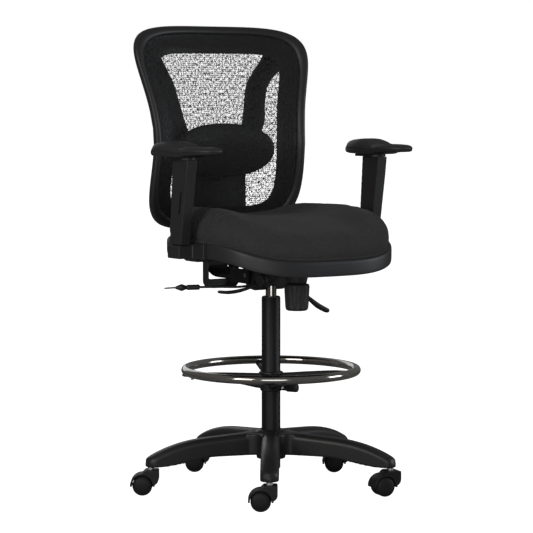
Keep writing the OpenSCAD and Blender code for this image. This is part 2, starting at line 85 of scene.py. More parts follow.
@dataclass
class Surface:
    """Points and faces of one closed surface.

    Args:
        points: (n, 3) positions.
        quads: (m, 4) corner numbers.
        tris: (k, 3) corner numbers.
    """

    points: Array
    quads: Array
    tris: Array

    def placed(self, origin: Array, axis: Array, side: Array | None = None) -> "Surface":
        """Carries local (x, y, z) to origin + x side + y up + z axis.

        Args:
            origin: where the local origin goes.
            axis: direction of local z.
            side: direction near local x, or None for any.

        Returns:
            The moved surface.
        """
        z = unit(np.asarray(axis, float))
        guide = np.array([0.0, 0.0, 1.0]) if abs(z[2]) < 0.9 else np.array([1.0, 0.0, 0.0])
        x = unit(np.cross(guide, z)) if side is None else unit(side - z * np.dot(side, z))
        y = np.cross(z, x)
        basis = np.stack([x, y, z])
        return Surface(self.points @ basis + np.asarray(origin, float), self.quads, self.tris)

    def moved(self, offset: tuple[float, float, float]) -> "Surface":
        """Shifts the surface by offset."""
        return Surface(self.points + np.asarray(offset, float), self.quads, self.tris)

    def mirrored(self) -> "Surface":
        """Mirrors the surface in the chair's middle plane."""
        return Surface(self.points * [-1, 1, 1], self.quads, self.tris)


def unit(v: Array) -> Array:
    """Divides vectors by their lengths along the last axis."""
    return v / np.linalg.norm(v, axis=-1, keepdims=True)


def power(v: Array, exponent: float) -> Array:
    """Raises the size of v to an exponent and keeps its sign."""
    return np.sign(v) * np.abs(v) ** exponent


def rounded(hx: float, hy: float, square: float, count: int) -> Array:
    """Superellipse |x/hx|^n + |y/hy|^n = 1 as (count, 2) points.

    Args:
        hx: half width.
        hy: half height.
        square: the exponent n, 2 for an ellipse and more for squarer corners.
        count: number of points.

    Returns:
        The outline, anticlockwise.
    """
    a = np.linspace(0, TURN, count, endpoint=False)
    return np.stack([hx * power(np.cos(a), 2 / square), hy * power(np.sin(a), 2 / square)], -1)


def run_lengths(points: Array) -> Array:
    """Distance along a chain of points from its first one, measured at each point."""
    return np.concatenate([[0], np.cumsum(np.linalg.norm(np.diff(points, axis=0), axis=1))])


def smooth_line(points: list, count: int) -> Array:
    """Cubic Hermite curve through points, with slopes taken along the chord length.

    Args:
        points: the points to pass through, in any number of dimensions.
        count: number of points to return.

    Returns:
        (count, d) points at even steps of chord length.
    """
    p = np.asarray(points, float)
    s = run_lengths(p)
    slope = np.gradient(p, s, axis=0)
    t = np.linspace(0, s[-1], count)
    k = np.clip(np.searchsorted(s, t, side="right") - 1, 0, len(s) - 2)
    h = (s[k + 1] - s[k])[:, None]
    u = (t - s[k])[:, None] / h
    return (
        (2 * u**3 - 3 * u**2 + 1) * p[k]
        + (u**3 - 2 * u**2 + u) * h * slope[k]
        + (3 * u**2 - 2 * u**3) * p[k + 1]
        + (u**3 - u**2) * h * slope[k + 1]
    )


def lofted(rings: Array, loop: bool = False) -> Surface:
    """Joins rings of points with quads, and closes the ends with fans or the last ring with the first.

    Args:
        rings: (m, n, 3) points.
        loop: True joins the last ring to the first.

    Returns:
        The closed surface.
    """
    m, n = rings.shape[:2]
    i = np.arange(m if loop else m - 1)[:, None]
    j = np.arange(n)[None, :]
    near, far, turn = i * n, (i + 1) % m * n, (j + 1) % n
    quads = np.stack([near + j, near + turn, far + turn, far + j], -1).reshape(-1, 4)
    points = rings.reshape(-1, 3)
    tris = np.zeros((0, 3), int)
    if not loop:
        points = np.vstack([points, rings[0].mean(0), rings[-1].mean(0)])
        k = np.arange(n)
        after = (k + 1) % n
        start = np.stack([after, k, np.full(n, m * n)], -1)
        end = np.stack([(m - 1) * n + k, (m - 1) * n + after, np.full(n, m * n + 1)], -1)
        tris = np.vstack([start, end])
    return Surface(points, quads, tris)


def turned(profile: list, count: int = 64, loop: bool = False, wave: Array | None = None) -> Surface:
    """Turns (radius, height) points about local z: x = r cos a, y = r sin a.

    Args:
        profile: the points, from one end to the other.
        count: steps round the axis.
        loop: True closes the profile on itself, as for a tube.
        wave: (k, count) factor on the radius at each profile point and angle, or None.

    Returns:
        The closed surface.
    """
    p = np.asarray(profile, float)
    a = np.linspace(0, TURN, count, endpoint=False)
    radius = p[:, :1] * (np.ones((1, count)) if wave is None else wave)
    rings = np.stack([radius * np.cos(a), radius * np.sin(a), np.broadcast_to(p[:, 1:], radius.shape)], -1)
    return lofted(rings, loop)


def swept(path: Array, section: Array, up: tuple[float, float, float] = (0, 0, 1)) -> Surface:
    """Carries a section along a path: point = path + x side + y top.

    Args:
        path: (m, 3) points.
        section: (n, 2) points, or (m, n, 2) where it changes along the path.
        up: direction that top leans to.

    Returns:
        The closed surface, with flat ends.
    """
    along = unit(np.gradient(path, axis=0))
    side = unit(np.cross(along, np.asarray(up, float)))
    top = np.cross(side, along)
    section = np.broadcast_to(section, (len(path), *section.shape[-2:]))
    return lofted(
        path[:, None] + section[..., :1] * side[:, None] + section[..., 1:] * top[:, None]
    )


def slab(low: tuple, high: tuple, round_r: float) -> Surface:
    """Upright box between two corners whose upright edges are rounded by round_r."""
    (x0, y0, z0), (x1, y1, z1) = low, high
    a = np.linspace(0, TURN, 32, endpoint=False)
    cx, cy = (x1 - x0) / 2 - round_r, (y1 - y0) / 2 - round_r
    plan = np.stack([(x0 + x1) / 2 + np.sign(np.cos(a) + 1e-9) * cx + round_r * np.cos(a),
                     (y0 + y1) / 2 + np.sign(np.sin(a) + 1e-9) * cy + round_r * np.sin(a)], -1)
    return lofted(np.stack([np.column_stack([plan, np.full(32, z)]) for z in (z0, z1)]))


def block(low: tuple, high: tuple) -> Surface:
    """Closed box between two corners, used where pieces are fused and smoothed."""
    (x0, y0, z0), (x1, y1, z1) = low, high
    square = np.array([[x0, y0], [x1, y0], [x1, y1], [x0, y1]])
    rings = np.stack([np.column_stack([square, np.full(4, z)]) for z in (z0, z1)])
    return lofted(rings)


# ---------------------------------------------------------------- Blender pieces


def baked(obj: bpy.types.Object) -> bpy.types.Object:
    """Applies every modifier of obj to its mesh.

    Returns:
        The same object.
    """
    graph = bpy.context.evaluated_depsgraph_get()
    mesh = bpy.data.meshes.new_from_object(obj.evaluated_get(graph), depsgraph=graph)
    obj.modifiers.clear()
    obj.data = mesh
    return obj


def piece(name: str, *surfaces: Surface, weld: bool = True, sharp: float = 40) -> bpy.types.Object:
    """Makes one mesh object from closed surfaces.

    Args:
        name: the piece's name.
        surfaces: what it is made of.
        weld: True merges points that meet and turns every face outwards.
        sharp: edges that bend more than this many degrees stay sharp in the shading.

    Returns:
        The new object.
    """
    start, points, faces = 0, [], []
    for s in surfaces:
        points.append(s.points)
        faces += (s.quads + start).tolist() + (s.tris + start).tolist()
        start += len(s.points)
    mesh = bpy.data.meshes.new(name)
    mesh.from_pydata(np.vstack(points).tolist(), [], faces)
    if weld:
        shape = bmesh.new()
        shape.from_mesh(mesh)
        bmesh.ops.remove_doubles(shape, verts=shape.verts, dist=2e-6)
        bmesh.ops.recalc_face_normals(shape, faces=shape.faces)
        shape.to_mesh(mesh)
        shape.free()
    obj = bpy.data.objects.new(name, mesh)
    bpy.context.scene.collection.objects.link(obj)
    return shaded(obj, sharp)


def shaded(obj: bpy.types.Object, sharp: float = 40) -> bpy.types.Object:
    """Shades obj smooth, apart from edges that bend more than sharp degrees."""
    obj.data.shade_smooth()
    obj.data.set_sharp_from_angle(angle=math.radians(sharp))
    return obj


def fused(obj: bpy.types.Object, voxel_mm: float, passes: int, sharp: float = 60) -> bpy.types.Object:
    """Melts overlapping shells into one skin and rounds its edges, as a mould does.

    Args:
        obj: the piece.
        voxel_mm: size of the new faces.
        passes: smoothing passes, more for rounder edges.
        sharp: passed to shaded.

    Returns:
        The same object.
    """
    remesh = obj.modifiers.new("melt", "REMESH")
    remesh.mode = "VOXEL"
    remesh.voxel_size = voxel_mm * MM
    smooth = obj.modifiers.new("round", "SMOOTH")
    smooth.factor = 0.5
    smooth.iterations = passes
    baked(obj)
    return shaded(obj, sharp)


def softened(node: str, voxel_mm: float, passes: int) -> bpy.types.Object:
    """Copy of a CAD node with moulded, rounded edges, on the same body."""
    mesh = frame["nodes"][node].data.copy()
    obj = bpy.data.objects.new(f"{node}_moulding", mesh)
    bpy.context.scene.collection.objects.link(obj)
    shape = bmesh.new()
    shape.from_mesh(mesh)
    bmesh.ops.remove_doubles(shape, verts=shape.verts, dist=1e-5)
    shape.to_mesh(mesh)
    shape.free()
    mesh.materials.clear()
    return fused(obj, voxel_mm, passes)


def joint(name: str) -> dict:
    """The record's joint of that name."""
    return next(j for j in frame["joints"] if j["name"] == name)


def curved(v: Array, low: float, high: float) -> Array:
    """Smooth step from 0 at low to 1 at high."""
    t = np.clip((v - low) / (high - low), 0, 1)
    return t * t * (3 - 2 * t)


# ---------------------------------------------------------------- materials


@dataclass
class Graph:
    """A node tree with short ways to add and join its nodes."""

    tree: bpy.types.NodeTree

    def add(self, kind: str, inputs: dict | None = None, **settings: object) -> bpy.types.Node:
        """Adds a node.

        Args:
            kind: the node's type.
            inputs: socket name or number to a value or to another node's socket.
            settings: the node's own properties.

        Returns:
            The node.
        """
        node = self.tree.nodes.new(kind)
        for key, value in settings.items():
            setattr(node, key, value)
        for key, value in (inputs or {}).items():
            self.feed(node.inputs[key], value)
        return node

    def feed(self, socket: bpy.types.NodeSocket, value: object) -> None:
        """Joins a socket to another socket, or sets its value."""
        if isinstance(value, bpy.types.NodeSocket):
            self.tree.links.new(value, socket)
        else:
            socket.default_value = value

    def math(self, operation: str, a: object, b: object = 0.0) -> bpy.types.NodeSocket:
        """Adds a Math node and returns its result."""
        return self.add("ShaderNodeMath", {0: a, 1: b}, operation=operation).outputs[0]

    def ramp(self, value: object, low: float, high: float, a: object, b: object) -> bpy.types.NodeSocket:
        """Maps value smoothly from low..high to a..b."""
        node = self.add(
            "ShaderNodeMapRange", {0: value, 1: low, 2: high, 3: a, 4: b}, interpolation_type="SMOOTHSTEP"
        )
        return node.outputs[0]

    def tint(self, factor: object, a: object, b: object) -> bpy.types.NodeSocket:
        """Mixes two colours."""
        node = self.add("ShaderNodeMix", data_type="RGBA")
        for number, value in ((0, factor), (6, a), (7, b)):
            self.feed(node.inputs[number], value)
        return node.outputs[2]

    def noise(self, vector: object, scale: object, detail: float = 2.0) -> bpy.types.NodeSocket:
        """Adds a Noise Texture and returns its value."""
        node = self.add("ShaderNodeTexNoise", {"Vector": vector, "Scale": scale, "Detail": detail})
        return node.outputs[0]


class Effect(Enum):
    """Node groups that the finishes share."""

    GRAIN = "moulded_grain"
    WEAVE = "woven_cloth"
    KNIT = "open_knit"
    BRUSH = "fine_scratches"


def new_group(effect: Effect, inputs: dict[str, tuple], outputs: dict[str, str]) -> tuple[Graph, dict, dict]:
    """Makes an empty node group.

    Args:
        effect: which group.
        inputs: name to (socket type, default value).
        outputs: name to socket type.

    Returns:
        The group's graph, its input sockets and its output sockets by name.
    """
    tree = bpy.data.node_groups.new(effect.value, "ShaderNodeTree")
    for name, (kind, value) in inputs.items():
        socket = tree.interface.new_socket(name, in_out="INPUT", socket_type=f"NodeSocket{kind}")
        socket.default_value = value
    for name, kind in outputs.items():
        tree.interface.new_socket(name, in_out="OUTPUT", socket_type=f"NodeSocket{kind}")
    graph = Graph(tree)
    entry = graph.add("NodeGroupInput")
    leave = graph.add("NodeGroupOutput")
    return graph, dict(entry.outputs.items()), dict(leave.inputs.items())


def make_grain() -> None:
    """Moulded plastic: fine pebbled grain, patchy sheen and a little dust on upward faces."""
    g, i, o = new_group(
        Effect.GRAIN,
        {
            "Color": ("Color", (0.02, 0.02, 0.02, 1)),
            "Roughness": ("Float", 0.45),
            "Grain Scale": ("Float", 1400.0),
            "Depth": ("Float", 0.15),
            "Patches": ("Float", 0.08),
            "Dust": ("Float", 0.15),
        },
        {"Color": "Color", "Roughness": "Float", "Normal": "Vector"},
    )
    where = g.add("ShaderNodeTexCoord")
    place, normal = where.outputs["Object"], where.outputs["Normal"]
    pebble = g.add("ShaderNodeTexVoronoi", {"Vector": place, "Scale": i["Grain Scale"]}).outputs["Distance"]
    fine = g.noise(place, g.math("MULTIPLY", i["Grain Scale"], 0.6), 3)
    height = g.math("ADD", g.math("MULTIPLY", pebble, 0.6), g.math("MULTIPLY", fine, 0.5))
    bump = g.add("ShaderNodeBump", {"Strength": i["Depth"], "Distance": 0.0002, "Height": height})
    patch = g.noise(place, 9.0, 4)
    streak = g.noise(place, 60.0, 3)
    streaky = g.math("MULTIPLY", g.math("SUBTRACT", streak, 0.5), 0.5)
    sheen = g.math("ADD", g.math("SUBTRACT", patch, 0.5), streaky)
    rough = g.math("ADD", i["Roughness"], g.math("MULTIPLY", sheen, g.math("MULTIPLY", i["Patches"], 2.0)))
    up = g.add("ShaderNodeSeparateXYZ", {0: normal}).outputs[2]
    specks = g.ramp(g.noise(place, 420.0, 2), 0.52, 0.75, 0.0, 1.0)
    layer = g.math("ADD", g.math("MULTIPLY", specks, 0.6), g.math("MULTIPLY", patch, 0.5))
    dust = g.math("MULTIPLY", g.math("MULTIPLY", g.ramp(up, 0.35, 1.0, 0.0, 1.0), layer), i["Dust"])
    shade = g.tint(g.math("MULTIPLY", patch, 0.35), i["Color"], WORN_COLOR)
    g.feed(o["Color"], g.tint(dust, g.tint(0.6, shade, i["Color"]), DUST_COLOR))
    g.feed(o["Roughness"], g.math("ADD", rough, g.math("MULTIPLY", dust, 0.4)))
    g.feed(o["Normal"], bump.outputs[0])


def make_weave() -> None:
    """Woven cloth on three planes: threads cross over and under, with slub and fuzz."""
    g, i, o = new_group(
        Effect.WEAVE,
        {
            "Color": ("Color", (0.03, 0.03, 0.03, 1)),
            "Light Thread": ("Color", (0.07, 0.07, 0.07, 1)),
            "Thread": ("Float", 1.1),
            "Depth": ("Float", 0.5),
        },
        {"Color": "Color", "Roughness": "Float", "Normal": "Vector"},
    )
    where = g.add("ShaderNodeTexCoord")
    place = where.outputs["Object"]
    wander = g.add("ShaderNodeTexNoise", {"Vector": place, "Scale": 90.0, "Detail": 2.0}).outputs["Color"]
    shifted = g.add("ShaderNodeVectorMath", {0: wander, 1: (0.0006, 0.0006, 0.0006)}, operation="MULTIPLY")
    moved = g.add("ShaderNodeVectorMath", {0: place, 1: shifted.outputs[0]}, operation="ADD").outputs[0]
    xyz = g.add("ShaderNodeSeparateXYZ", {0: moved}).outputs
    facing = g.add("ShaderNodeSeparateXYZ", {0: where.outputs["Normal"]}).outputs
    turns = g.math("DIVIDE", TURN * 500.0, i["Thread"])
    waves = [g.math("SINE", g.math("MULTIPLY", xyz[k], turns)) for k in range(3)]
    weights = [g.math("POWER", g.math("ABSOLUTE", facing[k]), 4.0) for k in range(3)]
    total = g.math("ADD", g.math("ADD", weights[0], weights[1]), weights[2])
    crossing = 0.0
    for k in range(3):
        both = g.math("MULTIPLY", waves[(k + 1) % 3], waves[(k + 2) % 3])
        crossing = g.math("ADD", crossing, g.math("MULTIPLY", both, g.math("DIVIDE", weights[k], total)))
    fuzz = g.noise(place, 2600.0, 3)
    height = g.math("ADD", crossing, g.math("MULTIPLY", fuzz, 0.7))
    bump = g.add("ShaderNodeBump", {"Strength": i["Depth"], "Distance": 0.0004, "Height": height})
    fleck = g.ramp(g.noise(place, 520.0, 2), 0.45, 0.75, 0.0, 0.5)
    over = g.ramp(crossing, -0.6, 0.8, 0.0, 0.55)
    cloudy = g.math("MULTIPLY", g.noise(place, 14.0, 4), 0.25)
    light = g.math("ADD", g.math("ADD", over, fleck), cloudy)
    g.feed(o["Color"], g.tint(light, i["Color"], i["Light Thread"]))
    g.feed(o["Roughness"], g.ramp(fuzz, 0.3, 0.7, 0.78, 0.95))
    g.feed(o["Normal"], bump.outputs[0])


def make_knit() -> None:
    """Open knit: tall uneven holes between cords, from the piece's own UV map in metres."""
    g, i, o = new_group(
        Effect.KNIT,
        {
            "Color": ("Color", (0.03, 0.03, 0.03, 1)),
            "Pitch": ("Float", 4.4),
            "Cord": ("Float", 0.14),
            "Ragged": ("Float", 0.75),
            "Uneven": ("Float", 0.9),
        },
        {"Color": "Color", "Alpha": "Float", "Normal": "Vector"},
    )
    where = g.add("ShaderNodeUVMap", uv_map="cloth").outputs[0]
    drift = g.add("ShaderNodeTexNoise", {"Vector": where, "Scale": 120.0, "Detail": 2.0}).outputs["Color"]
    shift = g.add("ShaderNodeVectorMath", {0: drift, 1: (0.002, 0.002, 0.0)}, operation="MULTIPLY").outputs[0]
    moved = g.add("ShaderNodeVectorMath", {0: where, 1: shift}, operation="ADD").outputs[0]
    tall = g.add("ShaderNodeMapping", {"Vector": moved, "Scale": (1.0, 0.7, 1.0)}).outputs[0]
    thick = g.noise(g.add("ShaderNodeMapping",
                          {"Vector": where, "Scale": (1.0, 0.5, 1.0)}).outputs[0], 260.0, 1)
    cells = g.add(
        "ShaderNodeTexVoronoi",
        {"Vector": tall, "Scale": g.math("DIVIDE", 1000.0, i["Pitch"]), "Randomness": i["Ragged"]},
        feature="DISTANCE_TO_EDGE", voronoi_dimensions="2D",
    ).outputs["Distance"]
    size = g.math("ADD", i["Cord"], g.math("MULTIPLY", g.math("SUBTRACT", thick, 0.5), i["Uneven"]))
    alpha = g.ramp(g.math("SUBTRACT", cells, size), -0.02, 0.02, 1.0, 0.0)
    uv = g.add("ShaderNodeSeparateXYZ", {0: moved}).outputs
    twist = g.math("DIVIDE", TURN * 2000.0, i["Pitch"])
    strand = g.math("SINE", g.math("MULTIPLY", g.math("ADD", uv[0], uv[1]), twist))
    height = g.math("SUBTRACT", g.math("MULTIPLY", strand, 0.15), g.math("MULTIPLY", cells, 3.0))
    bump = g.add("ShaderNodeBump", {"Strength": 0.6, "Distance": 0.0005, "Height": height})
    g.feed(o["Color"], g.tint(g.ramp(strand, -1.0, 1.0, 0.0, 0.5), i["Color"], (0.03, 0.03, 0.032, 1)))
    g.feed(o["Alpha"], alpha)
    g.feed(o["Normal"], bump.outputs[0])


def make_brush() -> None:
    """Metal: faint smears and fine scratches in the roughness, and a trace of colour change."""
    g, i, o = new_group(
        Effect.BRUSH,
        {
            "Color": ("Color", (0.8, 0.8, 0.8, 1)),
            "Roughness": ("Float", 0.1),
            "Marks": ("Float", 0.1),
            "Depth": ("Float", 0.05),
        },
        {"Color": "Color", "Roughness": "Float", "Normal": "Vector"},
    )
    place = g.add("ShaderNodeTexCoord").outputs["Object"]
    stretch = g.add("ShaderNodeMapping", {"Vector": place, "Scale": (60.0, 60.0, 900.0)}).outputs[0]
    lines = g.noise(stretch, 1.0, 3)
    smear = g.noise(place, 22.0, 4)
    marks = g.math("ADD", g.ramp(smear, 0.35, 0.75, 0.0, 1.0), g.math("MULTIPLY", lines, 0.6))
    bump = g.add("ShaderNodeBump", {"Strength": i["Depth"], "Distance": 0.0001, "Height": lines})
    g.feed(o["Color"], g.tint(g.math("MULTIPLY", smear, 0.25), i["Color"], (0.55, 0.56, 0.58, 1)))
    g.feed(o["Roughness"], g.math("ADD", i["Roughness"], g.math("MULTIPLY", marks, i["Marks"])))
    g.feed(o["Normal"], bump.outputs[0])


@dataclass(frozen=True)
class Finish:
    """One surface finish, and the group that gives it its detail.

    Args:
        name: the material's name.
        slot: the record's material slot that it belongs to; not used.
        effect: the node group that it uses.
        inputs: the group's input values.
        shader: the shader's own values, by socket name.
    """

    name: str
    slot: str
    effect: Effect
    inputs: dict
    shader: dict = field(default_factory=dict)

    def material(self) -> bpy.types.Material:
        """Builds the material once and returns it."""
        found = bpy.data.materials.get(self.name)
        if found:
            return found
        mat = bpy.data.materials.new(self.name)
        mat.use_nodes = True
        graph = Graph(mat.node_tree)
        shader = mat.node_tree.nodes["Principled BSDF"]
        for key, value in self.shader.items():
            shader.inputs[key].default_value = value
        group = graph.add("ShaderNodeGroup", node_tree=bpy.data.node_groups[self.effect.value])
        for key, value in self.inputs.items():
            group.inputs[key].default_value = value
        for out in group.outputs:
            graph.feed(shader.inputs["Base Color" if out.name == "Color" else out.name], out)
        return mat

    def on(self, *objects: bpy.types.Object) -> None:
        """Dresses objects in this finish."""
        for obj in objects:
            obj.data.materials.clear()
            obj.data.materials.append(self.material())


def grey(level: float, blue: float = 0.0) -> tuple[float, float, float, float]:
    """A near-neutral colour; blue tips it cool."""
    return (level, level, level + blue, 1.0)


def moulded(name: str, slot: str, level: float, rough: float, grain: float, depth: float,
            **more: float) -> Finish:
    """A moulded plastic finish."""
    inputs = {
        "Color": grey(level, more.get("blue", 0.001)),
        "Roughness": rough,
        "Grain Scale": grain,
        "Depth": depth,
        "Patches": more.get("patches", 0.06),
        "Dust": more.get("dust", 0.06),
    }
    return Finish(name, slot, Effect.GRAIN, inputs, {"Specular IOR Level": more.get("gloss", 0.45)})


NYLON = moulded("base_nylon", "nylon_black", 0.009, 0.42, 1500, 0.22, dust=0.05)
HOUSING = moulded("housing_nylon", "nylon_black", 0.009, 0.5, 1200, 0.3, dust=0.08)
FRAME_PLASTIC = moulded("frame_plastic", "plastic_black", 0.015, 0.46, 1700, 0.2, dust=0.02)
BAND_PLASTIC = moulded("band_plastic", "plastic_black", 0.017, 0.48, 1300, 0.3, blue=0.002, dust=0.03)
CASTER_PLASTIC = moulded("caster_plastic", "plastic_black", 0.006, 0.5, 1600, 0.2, blue=0.001, gloss=0.3)
WHEEL_NYLON = moulded("wheel_nylon", "nylon_black", 0.006, 0.55, 1900, 0.15, blue=0.001, patches=0.12,
                      gloss=0.25)
PAD_SKIN = moulded("pad_skin", "plastic_black", 0.022, 0.5, 900, 0.45, dust=0.05, gloss=0.4)
KNOB_RUBBER = moulded("knob_plastic", "plastic_black", 0.012, 0.55, 1200, 0.3)
SLEEVE_NYLON = moulded("sleeve_nylon", "nylon_black", 0.016, 0.46, 1500, 0.22)
TUBE_PAINT = moulded("tube_powder_coat", "tube_black", 0.003, 0.45, 2600, 0.12, patches=0.05,
                     dust=0.02, gloss=0.22)
# Painted shade: near-black, matt finish of the strip that stands in for the shade inside the arm slots.
SLOT_SHADE = moulded("painted_slot_shade", "nylon_black", 0.001, 0.8, 1500, 0.1, dust=0.0, gloss=0.05)
METAL = {"Metallic": 1.0}
CHROME = Finish(
    "polished_chrome", "chrome", Effect.BRUSH,
    {"Color": (0.37, 0.35, 0.32, 1), "Roughness": 0.08, "Marks": 0.07, "Depth": 0.02}, METAL,
)
STEEL = Finish(
    "bright_steel", "steel", Effect.BRUSH,
    {"Color": (0.5, 0.51, 0.53, 1), "Roughness": 0.3, "Marks": 0.2, "Depth": 0.1}, METAL,
)
DARK_STEEL = Finish(
    "black_steel", "steel", Effect.BRUSH,
    {"Color": (0.012, 0.012, 0.012, 1), "Roughness": 0.5, "Marks": 0.2, "Depth": 0.1},
    {"Specular IOR Level": 0.3},
)
ZINC = Finish(
    "zinc_plate", "zinc", Effect.BRUSH,
    {"Color": (0.55, 0.57, 0.6, 1), "Roughness": 0.32, "Marks": 0.25, "Depth": 0.12}, METAL,
)
SEAT_CLOTH = Finish(
    "seat_cloth", "seat_fabric", Effect.WEAVE,
    {"Color": (0.017, 0.017, 0.0175, 1), "Light Thread": (0.062, 0.062, 0.064, 1), "Thread": 1.1,
     "Depth": 0.45},
    {"Sheen Weight": 0.06, "Sheen Roughness": 0.5, "Specular IOR Level": 0.2},
)
WELT_CLOTH = Finish(
    "welt_cloth", "seat_fabric", Effect.WEAVE,
    {"Color": (0.01, 0.01, 0.0105, 1), "Light Thread": (0.035, 0.035, 0.037, 1), "Thread": 0.8, "Depth": 0.4},
    {"Sheen Weight": 0.15, "Specular IOR Level": 0.2},
)
BACK_KNIT = Finish(
    "back_knit", "mesh_black", Effect.KNIT,
    {"Color": (0.009, 0.009, 0.0095, 1), "Pitch": 3.6, "Cord": 0.17, "Ragged": 0.7, "Uneven": 1.1},
    {"Roughness": 0.6, "Specular IOR Level": 0.3},
)
PLY = moulded("plywood_face", "plywood", 0.3, 0.6, 300, 0.3, patches=0.1)


# ---------------------------------------------------------------- the chair


@dataclass
class Base:
    """Five-star base: hollow ribbed arms melted into a bored hub."""

    reach: float = 0.330
    half_width: float = 0.023
    wall: float = 0.0045
    hub_radius: float = 0.037
    steps: int = 44

    def top(self, r: Array) -> Array:
        """Height of an arm's crest at distance r from the column: a slope that falls away at the tip."""
        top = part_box("five_star_base")[1].z
        return top - 0.002 - 0.075 * r - 0.036 * np.clip((r - 0.16) / 0.17, 0, 1) ** 2.4

    def under(self, r: Array) -> Array:
        """Height of an arm's lower edge: arched between the hub and the caster boss."""
        return 0.0705 + 0.0205 * curved(0.30 - r, 0.0, 0.16)

    def section(self, r: float) -> Array:
        """Inverted U section of an arm at distance r, as (n, 2) points across and up."""
        tip = max(0.0, (r - (self.reach - self.half_width)) / self.half_width)
        half = self.half_width * math.sqrt(max(0.02, 1 - tip**2))
        top, low = float(self.top(np.array(r))), float(self.under(np.array(r)))
        crown, wall = 0.003, self.wall
        closed = r > 0.292 or r < 0.045
        outer = [(-half, low), (-half, top - 0.012), (-half + 0.004, top - crown - 0.002),
                 (-half * 0.5, top - 0.0008), (0, top)]
        if closed:
            inner = [(0, low + 0.0002), (-half * 0.5, low + 0.0002), (-half * 0.8, low + 0.0001),
                     (-half + 0.002, low + 0.0001)]
        else:
            roof = top - wall - crown
            inner = [(0, roof), (-half * 0.5, roof), (-half + wall, roof - 0.004), (-half + wall, low)]
        left = np.array(outer)
        right = left[-2::-1] * [-1, 1]
        back = np.array(inner[:0:-1]) * [-1, 1]
        return np.vstack([left, right, back, np.array(inner)])

    def arm(self, angle: float) -> list[Surface]:
        """One arm, its ribs and its caster boss, turned to angle."""
        r = np.linspace(0.02, self.reach - 0.0005, self.steps)
        sections = np.stack([self.section(float(x)) for x in r])
        out = np.array([math.cos(angle), math.sin(angle), 0])
        side = np.array([-math.sin(angle), math.cos(angle), 0])
        rings = r[:, None, None] * out + sections[..., :1] * side + sections[..., 1:] * np.array([0, 0, 1.0])
        parts = [lofted(rings)]
        for x in (0.10, 0.15, 0.20, 0.25):
            low, high = float(self.under(np.array(x))) + 0.006, float(self.top(np.array(x))) - 0.006
            rib = block((-0.0015, -0.020, low), (0.0015, 0.020, high))
            parts.append(rib.placed(out * x, (0, 0, 1), out))
        spine = [(x, float(self.under(np.array(x))) + 0.008, float(self.top(np.array(x))) - 0.006)
                 for x in np.linspace(0.05, 0.29, 12)]
        strip = np.stack([[out * x + side * s + np.array([0, 0, z])
                           for s, z in ((-0.0014, a), (0.0014, a), (0.0014, b), (-0.0014, b))]
                          for x, a, b in spine])
        return parts + [lofted(strip)]

    def fillet(self, angle: float) -> Surface:
        """Concave web between two arms at the hub."""
        radius = 0.030
        reach = (self.half_width - 0.001 + radius) / math.sin(HALF_ARM_STEP)
        a = np.linspace(math.radians(180 - 53), math.radians(180 + 53), 24)
        arc = np.column_stack([reach + radius * np.cos(a), radius * np.sin(a)])
        outline = np.vstack([[0.01, -0.012], [0.01, 0.012], arc])
        rings = np.stack([np.column_stack([outline, np.full(len(outline), z)]) for z in (0.0915, 0.1462)])
        return lofted(rings).placed((0, 0, 0), (0, 0, 1), np.array([math.cos(angle), math.sin(angle), 0]))

    def build(self) -> None:
        """Builds and dresses the base."""
        stems = [joint(f"caster_{k}_swivel")["pos_m"] for k in range(1, 6)]
        angles = [math.atan2(p[1], p[0]) for p in stems]
        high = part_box("five_star_base")[1]
        parts: list[Surface] = []
        for angle in angles:
            parts += self.arm(angle)
            parts.append(self.fillet(angle + HALF_ARM_STEP))
        bore = 0.0243
        parts.append(turned([(bore, 0.0785), (self.hub_radius, 0.0785), (self.hub_radius, high.z - 0.004),
                             (self.hub_radius - 0.004, high.z - 0.001), (bore, high.z - 0.0005)], 72,
                             loop=True))
        base = piece("five_star_base_moulding", *parts, weld=False)
        fused(base, 2.4, 5)
        bored(base, bore)
        NYLON.on(base)
        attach(base, "base")
        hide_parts("five_star_base")


def bored(obj: bpy.types.Object, radius: float) -> None:
    """Pushes points that lie inside the column's bore out to its wall."""
    co = np.zeros(len(obj.data.vertices) * 3)
    obj.data.vertices.foreach_get("co", co)
    co = co.reshape(-1, 3)
    distance = np.hypot(co[:, 0], co[:, 1])
    inside = distance < radius
    co[inside, :2] *= (radius / np.maximum(distance[inside], 1e-6))[:, None]
    obj.data.vertices.foreach_set("co", co.ravel())
    obj.data.update()


@dataclass
class Casters:
    """Five twin-wheel casters."""

    tread: float = 0.0250
    width: float = 0.0205

    def wheel_profile(self) -> list[tuple[float, float]]:
        """(radius, distance from the web) of a wheel: crowned tread, stepped face and domed cap."""
        r, w = self.tread, self.width
        return [(0.003, 0), (0.009, 0), (0.0095, 0.001), (r - 0.003, 0.001), (r - 0.0008, 0.0018),
                (r, 0.004), (r, 0.0125), (r - 0.0006, 0.0152), (r - 0.002, 0.0172), (r - 0.0044, 0.0186),
                (r - 0.0052, 0.0184), (r - 0.006, 0.0189), (r * 0.55, w - 0.0002), (r * 0.25, w + 0.0002),
                (0.0, w + 0.0003)]

    def build(self) -> None:
        """Builds and dresses hoods and wheels; the steel stems stay as they are."""
        for k in range(1, 6):
            roll = joint(f"wheels_{k}_roll")
            axis, centre = np.array(roll["axis"], float), np.array(roll["pos_m"], float)
            wheel = turned(self.wheel_profile(), 72)
            pair = [wheel.placed(centre + axis * s * 0.004, axis * s) for s in (-1, 1)]
            wheels = piece(f"wheel_pair_{k}", *pair)
            WHEEL_NYLON.on(wheels)
            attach(wheels, f"wheels_{k}")
            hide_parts(f"caster_wheels_{k}")
            hood = softened(f"caster_hood_{k}", 0.9, 6)
            CASTER_PLASTIC.on(hood)
            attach(hood, f"caster_{k}")
            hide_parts(f"caster_hood_{k}")
            ZINC.on(frame["nodes"][f"caster_stem_{k}"])


